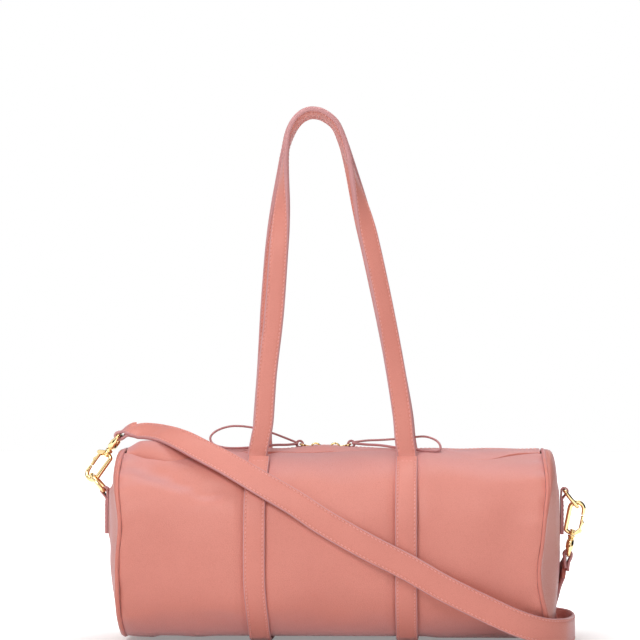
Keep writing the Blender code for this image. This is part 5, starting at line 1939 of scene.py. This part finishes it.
    def eye(self) -> None:
        """The strap's eye: a turned post with its head and a rounded wire loop."""
        place = self.hook_place(0.0)
        h = self.collar_height
        profile = np.array([[0.0, h + 0.0014], [0.0011, h + 0.0013], [0.0018, h + 0.0009],
                            [0.0019, h + 0.0003], [0.0013, h + 0.0003], [0.0013, -0.0003],
                            [0.0023, -0.0003], [0.0025, -0.0007], [0.0025, -0.0013],
                            [0.0020, -0.0020], [0.0014, -0.0034], [0.0, -0.0036]])
        patch = lathe(profile).placed(LATHE_ALONG)
        half = self.strap_width / 2 + self.eye_wire + 2 * GAP
        top, bar, bend = -0.0027, -self.eye_reach, self.eye_corner
        right = spline_points(np.array([[top, 0.0], [top - 0.0002, half * 0.3],
                                        [top - 0.0013, half * 0.72],
                                        [top - 0.0034, half * 0.97],
                                        [bar + 0.0040, half], [bar + bend, half]]), 6)
        corner = arc_points((bar + bend, half - bend), bend, math.pi / 2, math.pi, 6)[1:]
        straight = np.stack([np.full(8, bar), np.linspace(half - bend, 0.0, 9)[1:]], axis=1)
        upper = np.vstack([right, corner, straight])
        flat = np.vstack([upper, upper[-2:0:-1] * [1.0, -1.0]])
        path = np.insert(flat, 2, 0.0, axis=1)
        way = directions(path, closed=True)
        across = np.broadcast_to(Z_AXIS, path.shape)
        broad = 1.0 + 0.75 * ease((path[:, 0] - bar - 0.0020) / 0.0030)
        profile = (circle(self.eye_wire, 14)[None]
                   * np.stack([broad, np.ones(len(broad))], axis=1)[:, None])
        patch = patch.joined(swept(profile, path, across, np.cross(across, way), closed=True))
        finished("swivel_eye_" + self.side.word, patch.placed(place), [self.palette.gold],
                 replaces=("strap_eye_" + self.side.word,))

    def fold(self) -> None:
        """The strap's end, passed round the eye's bar and back under itself."""
        bar = (self.hook_place(0.0) @ np.array([-self.eye_reach, 0.0, 0.0, 1.0]))[:3]
        tail = -np.array([math.cos(self.tail_angle), 0.0, math.sin(self.tail_angle)])
        rise = np.array([math.sin(-self.tail_angle), 0.0, math.cos(self.tail_angle)])
        rise = rise * self.strap_side
        turn = self.eye_wire + GAP + self.fold_leather / 2
        if self.side is Side.LEFT:
            start = [(0.0118, 0.0010), (0.0085, 0.0024), (0.0050, 0.0033)]
        else:
            start = [(0.0085, 0.0024), (0.0050, 0.0024)]
        loop = [tuple(point) for point in
                arc_points((0.0, 0.0), turn, math.radians(70), math.radians(265), 9)]
        route = np.array(start + loop + [(0.0020, -turn * 0.75), (0.0045, -turn * 0.15),
                                         (0.0080, 0.0006), (0.0105, 0.0009)])
        flat = spline_points(route, 5)
        twist = self.strap_twist * ease(flat[:, :1] / 0.0130)
        level = np.array([0.0, 1.0, 0.0])
        across = level * np.cos(twist) + rise * np.sin(twist)
        normal = rise * np.cos(twist) - level * np.sin(twist)
        pivot = self.strap_offset * ease(flat[:, :1] / 0.0045)
        path = bar + flat[:, :1] * tail + pivot * rise + (flat[:, 1:] - pivot) * normal
        out = unit(np.cross(across, directions(path)))
        across = unit(np.cross(directions(path), out))
        section = StrapSection(self.strap_width, self.fold_leather, corner=0.0005)
        finished("strap_turn_" + self.side.word, section.along(path, across, out),
                 self.palette.strap, replaces=("strap_fold_" + self.side.word,))

    def build(self) -> None:
        """Build the whole clasp."""
        self.tab()
        self.ring()
        self.hook()
        self.gate()
        self.eye()
        self.fold()


# ---------------------------------------------------------------- studio


@dataclass
class Studio:
    """Floor, backdrop, lamps and the camera at the photograph's angle."""

    distance: float = 2.06
    height: float = 0.166
    turn: float = math.radians(2.3)
    focal_pixels: float = 3095.0
    image_pixels: float = 640.0
    axis_pixels: tuple[float, float] = (14.0, 69.0)

    def camera(self) -> None:
        """A level, distant camera, aimed so that the bag lies where the photograph has it."""
        data = bpy.data.cameras.new("studio_camera")
        data.sensor_width = 36.0
        data.lens = self.focal_pixels / self.image_pixels * data.sensor_width
        data.clip_start, data.clip_end = 0.05, 50.0
        camera = in_scene("studio_camera", data)
        camera.location = (self.distance * math.sin(self.turn),
                           -self.distance * math.cos(self.turn), self.height)
        yaw = math.atan(self.axis_pixels[0] / self.focal_pixels)
        pitch = math.atan(self.axis_pixels[1] / self.focal_pixels)
        camera.rotation_euler = (math.pi / 2 + pitch, 0.0, self.turn + yaw)
        bpy.context.scene.camera = camera

    def lamp(self, name: str, place: tuple[float, float, float],
             size: tuple[float, float], power: float) -> None:
        """A rectangular softbox aimed at the bag.

        Args:
            name: The lamp's name.
            place: Where it stands.
            size: Its width and height.
            power: Its power in watts.
        """
        data = bpy.data.lights.new(name, "AREA")
        data.shape = "RECTANGLE"
        data.size, data.size_y = size
        data.energy = power
        lamp = in_scene(name, data)
        lamp.location = place
        aim = np.array([0.0, 0.0, 0.10]) - np.array(place)
        flat = math.hypot(aim[0], aim[1])
        lamp.rotation_euler = (math.atan2(flat, -aim[2]), 0.0, math.atan2(-aim[0], aim[1]))

    def floor(self) -> None:
        """A wide white floor that keeps the bag's shadow."""
        span = np.linspace(-6.0, 6.0, 3)
        x, y = np.meshgrid(span, span, indexing="ij")
        grid = np.stack([x, y, np.full_like(x, -0.0001)], axis=2)
        mesh = bpy.data.meshes.new("studio_floor")
        mesh.from_pydata(grid.reshape(-1, 3).tolist(), [], quads(3, 3).tolist())
        floor = in_scene("studio_floor", mesh)
        material, wire, shader = blank_material("studio_floor_white")
        for label, value in (("Base Color", (0.86, 0.86, 0.86, 1.0)), ("Roughness", 0.85),
                             ("Specular IOR Level", 0.1),
                             ("Emission Color", (1.0, 1.0, 1.0, 1.0))):
            wire.join(value, shader.inputs[label])
        ray = wire.add("ShaderNodeLightPath")
        seen = wire.maths("MAXIMUM", ray.outputs["Is Camera Ray"], ray.outputs["Is Glossy Ray"])
        split = wire.add("ShaderNodeSeparateXYZ")
        wire.join(wire.place(), split.inputs[0])
        along = wire.maths("POWER", wire.maths("MULTIPLY", split.outputs["X"], 0.72), 2.0)
        away = wire.maths("SQRT", wire.maths("ADD", along,
                                             wire.maths("POWER", split.outputs["Y"], 2.0)), 0.0)
        glow = wire.spread(away, 0.12, 0.34, 0.27, 1.0)
        wire.join(wire.maths("MULTIPLY", seen, glow), shader.inputs["Emission Strength"])
        mesh.materials.append(material)

    def world(self) -> None:
        """A white world to the eye and in reflections, and a softer one as a lamp."""
        world = bpy.data.worlds.new("studio_world")
        world.use_nodes = True
        bpy.context.scene.world = world
        wire = Wiring(world.node_tree)
        back = world.node_tree.nodes["Background"]
        back.inputs["Color"].default_value = (1.0, 1.0, 1.0, 1.0)
        ray = wire.add("ShaderNodeLightPath")
        split = wire.add("ShaderNodeSeparateXYZ")
        wire.join(wire.add("ShaderNodeTexCoord").outputs["Generated"], split.inputs[0])
        strips = wire.maths("SINE", wire.maths("MULTIPLY", split.outputs["X"], 6.5), 0.0)
        strips = wire.spread(strips, 0.10, 0.45, 0.02, 1.10)
        glossy = wire.maths("MULTIPLY", ray.outputs["Is Glossy Ray"],
                            wire.maths("SUBTRACT", strips, 0.45))
        seen = wire.maths("MULTIPLY", ray.outputs["Is Camera Ray"], 0.55)
        strength = wire.maths("ADD", wire.maths("ADD", seen, glossy), 0.45)
        wire.join(strength, back.inputs["Strength"])

    def build(self) -> None:
        """Set the whole studio."""
        bpy.context.scene.view_settings.view_transform = "Standard"
        self.camera()
        self.lamp("key_box", (-0.6, -1.4, 1.3), (0.9, 0.7), 16.2)
        self.lamp("fill_box", (1.4, -1.5, 0.7), (0.9, 1.2), 0.8)
        self.lamp("top_box", (0.0, 0.10, 1.60), (0.9, 0.5), 9.2)
        self.floor()
        self.world()


def main() -> None:
    """Dress the whole bag."""
    logging.basicConfig(level=logging.INFO, format="%(name)s %(message)s")
    palette = Palette(Groups(hide_grain_group(), cloth_weave_group(), fine_wear_group()))
    form = BodyForm()
    Studio().build()
    ShoulderStrap(palette).build()
    BarrelBody(form, palette).build()
    Belts(form, palette).build()
    Handles(palette).build()
    ZipUnit(form, palette).build()
    Clasp(Side.LEFT, form, palette, math.radians(130.0), math.radians(234.2),
          math.radians(28.0), math.radians(189.2), -1.0, math.radians(38.0)).build()
    Clasp(Side.RIGHT, form, palette, math.radians(-52.0), math.radians(78.5), 0.0,
          math.radians(95.0), 1.0).build()


if __name__ == "__main__":
    main()
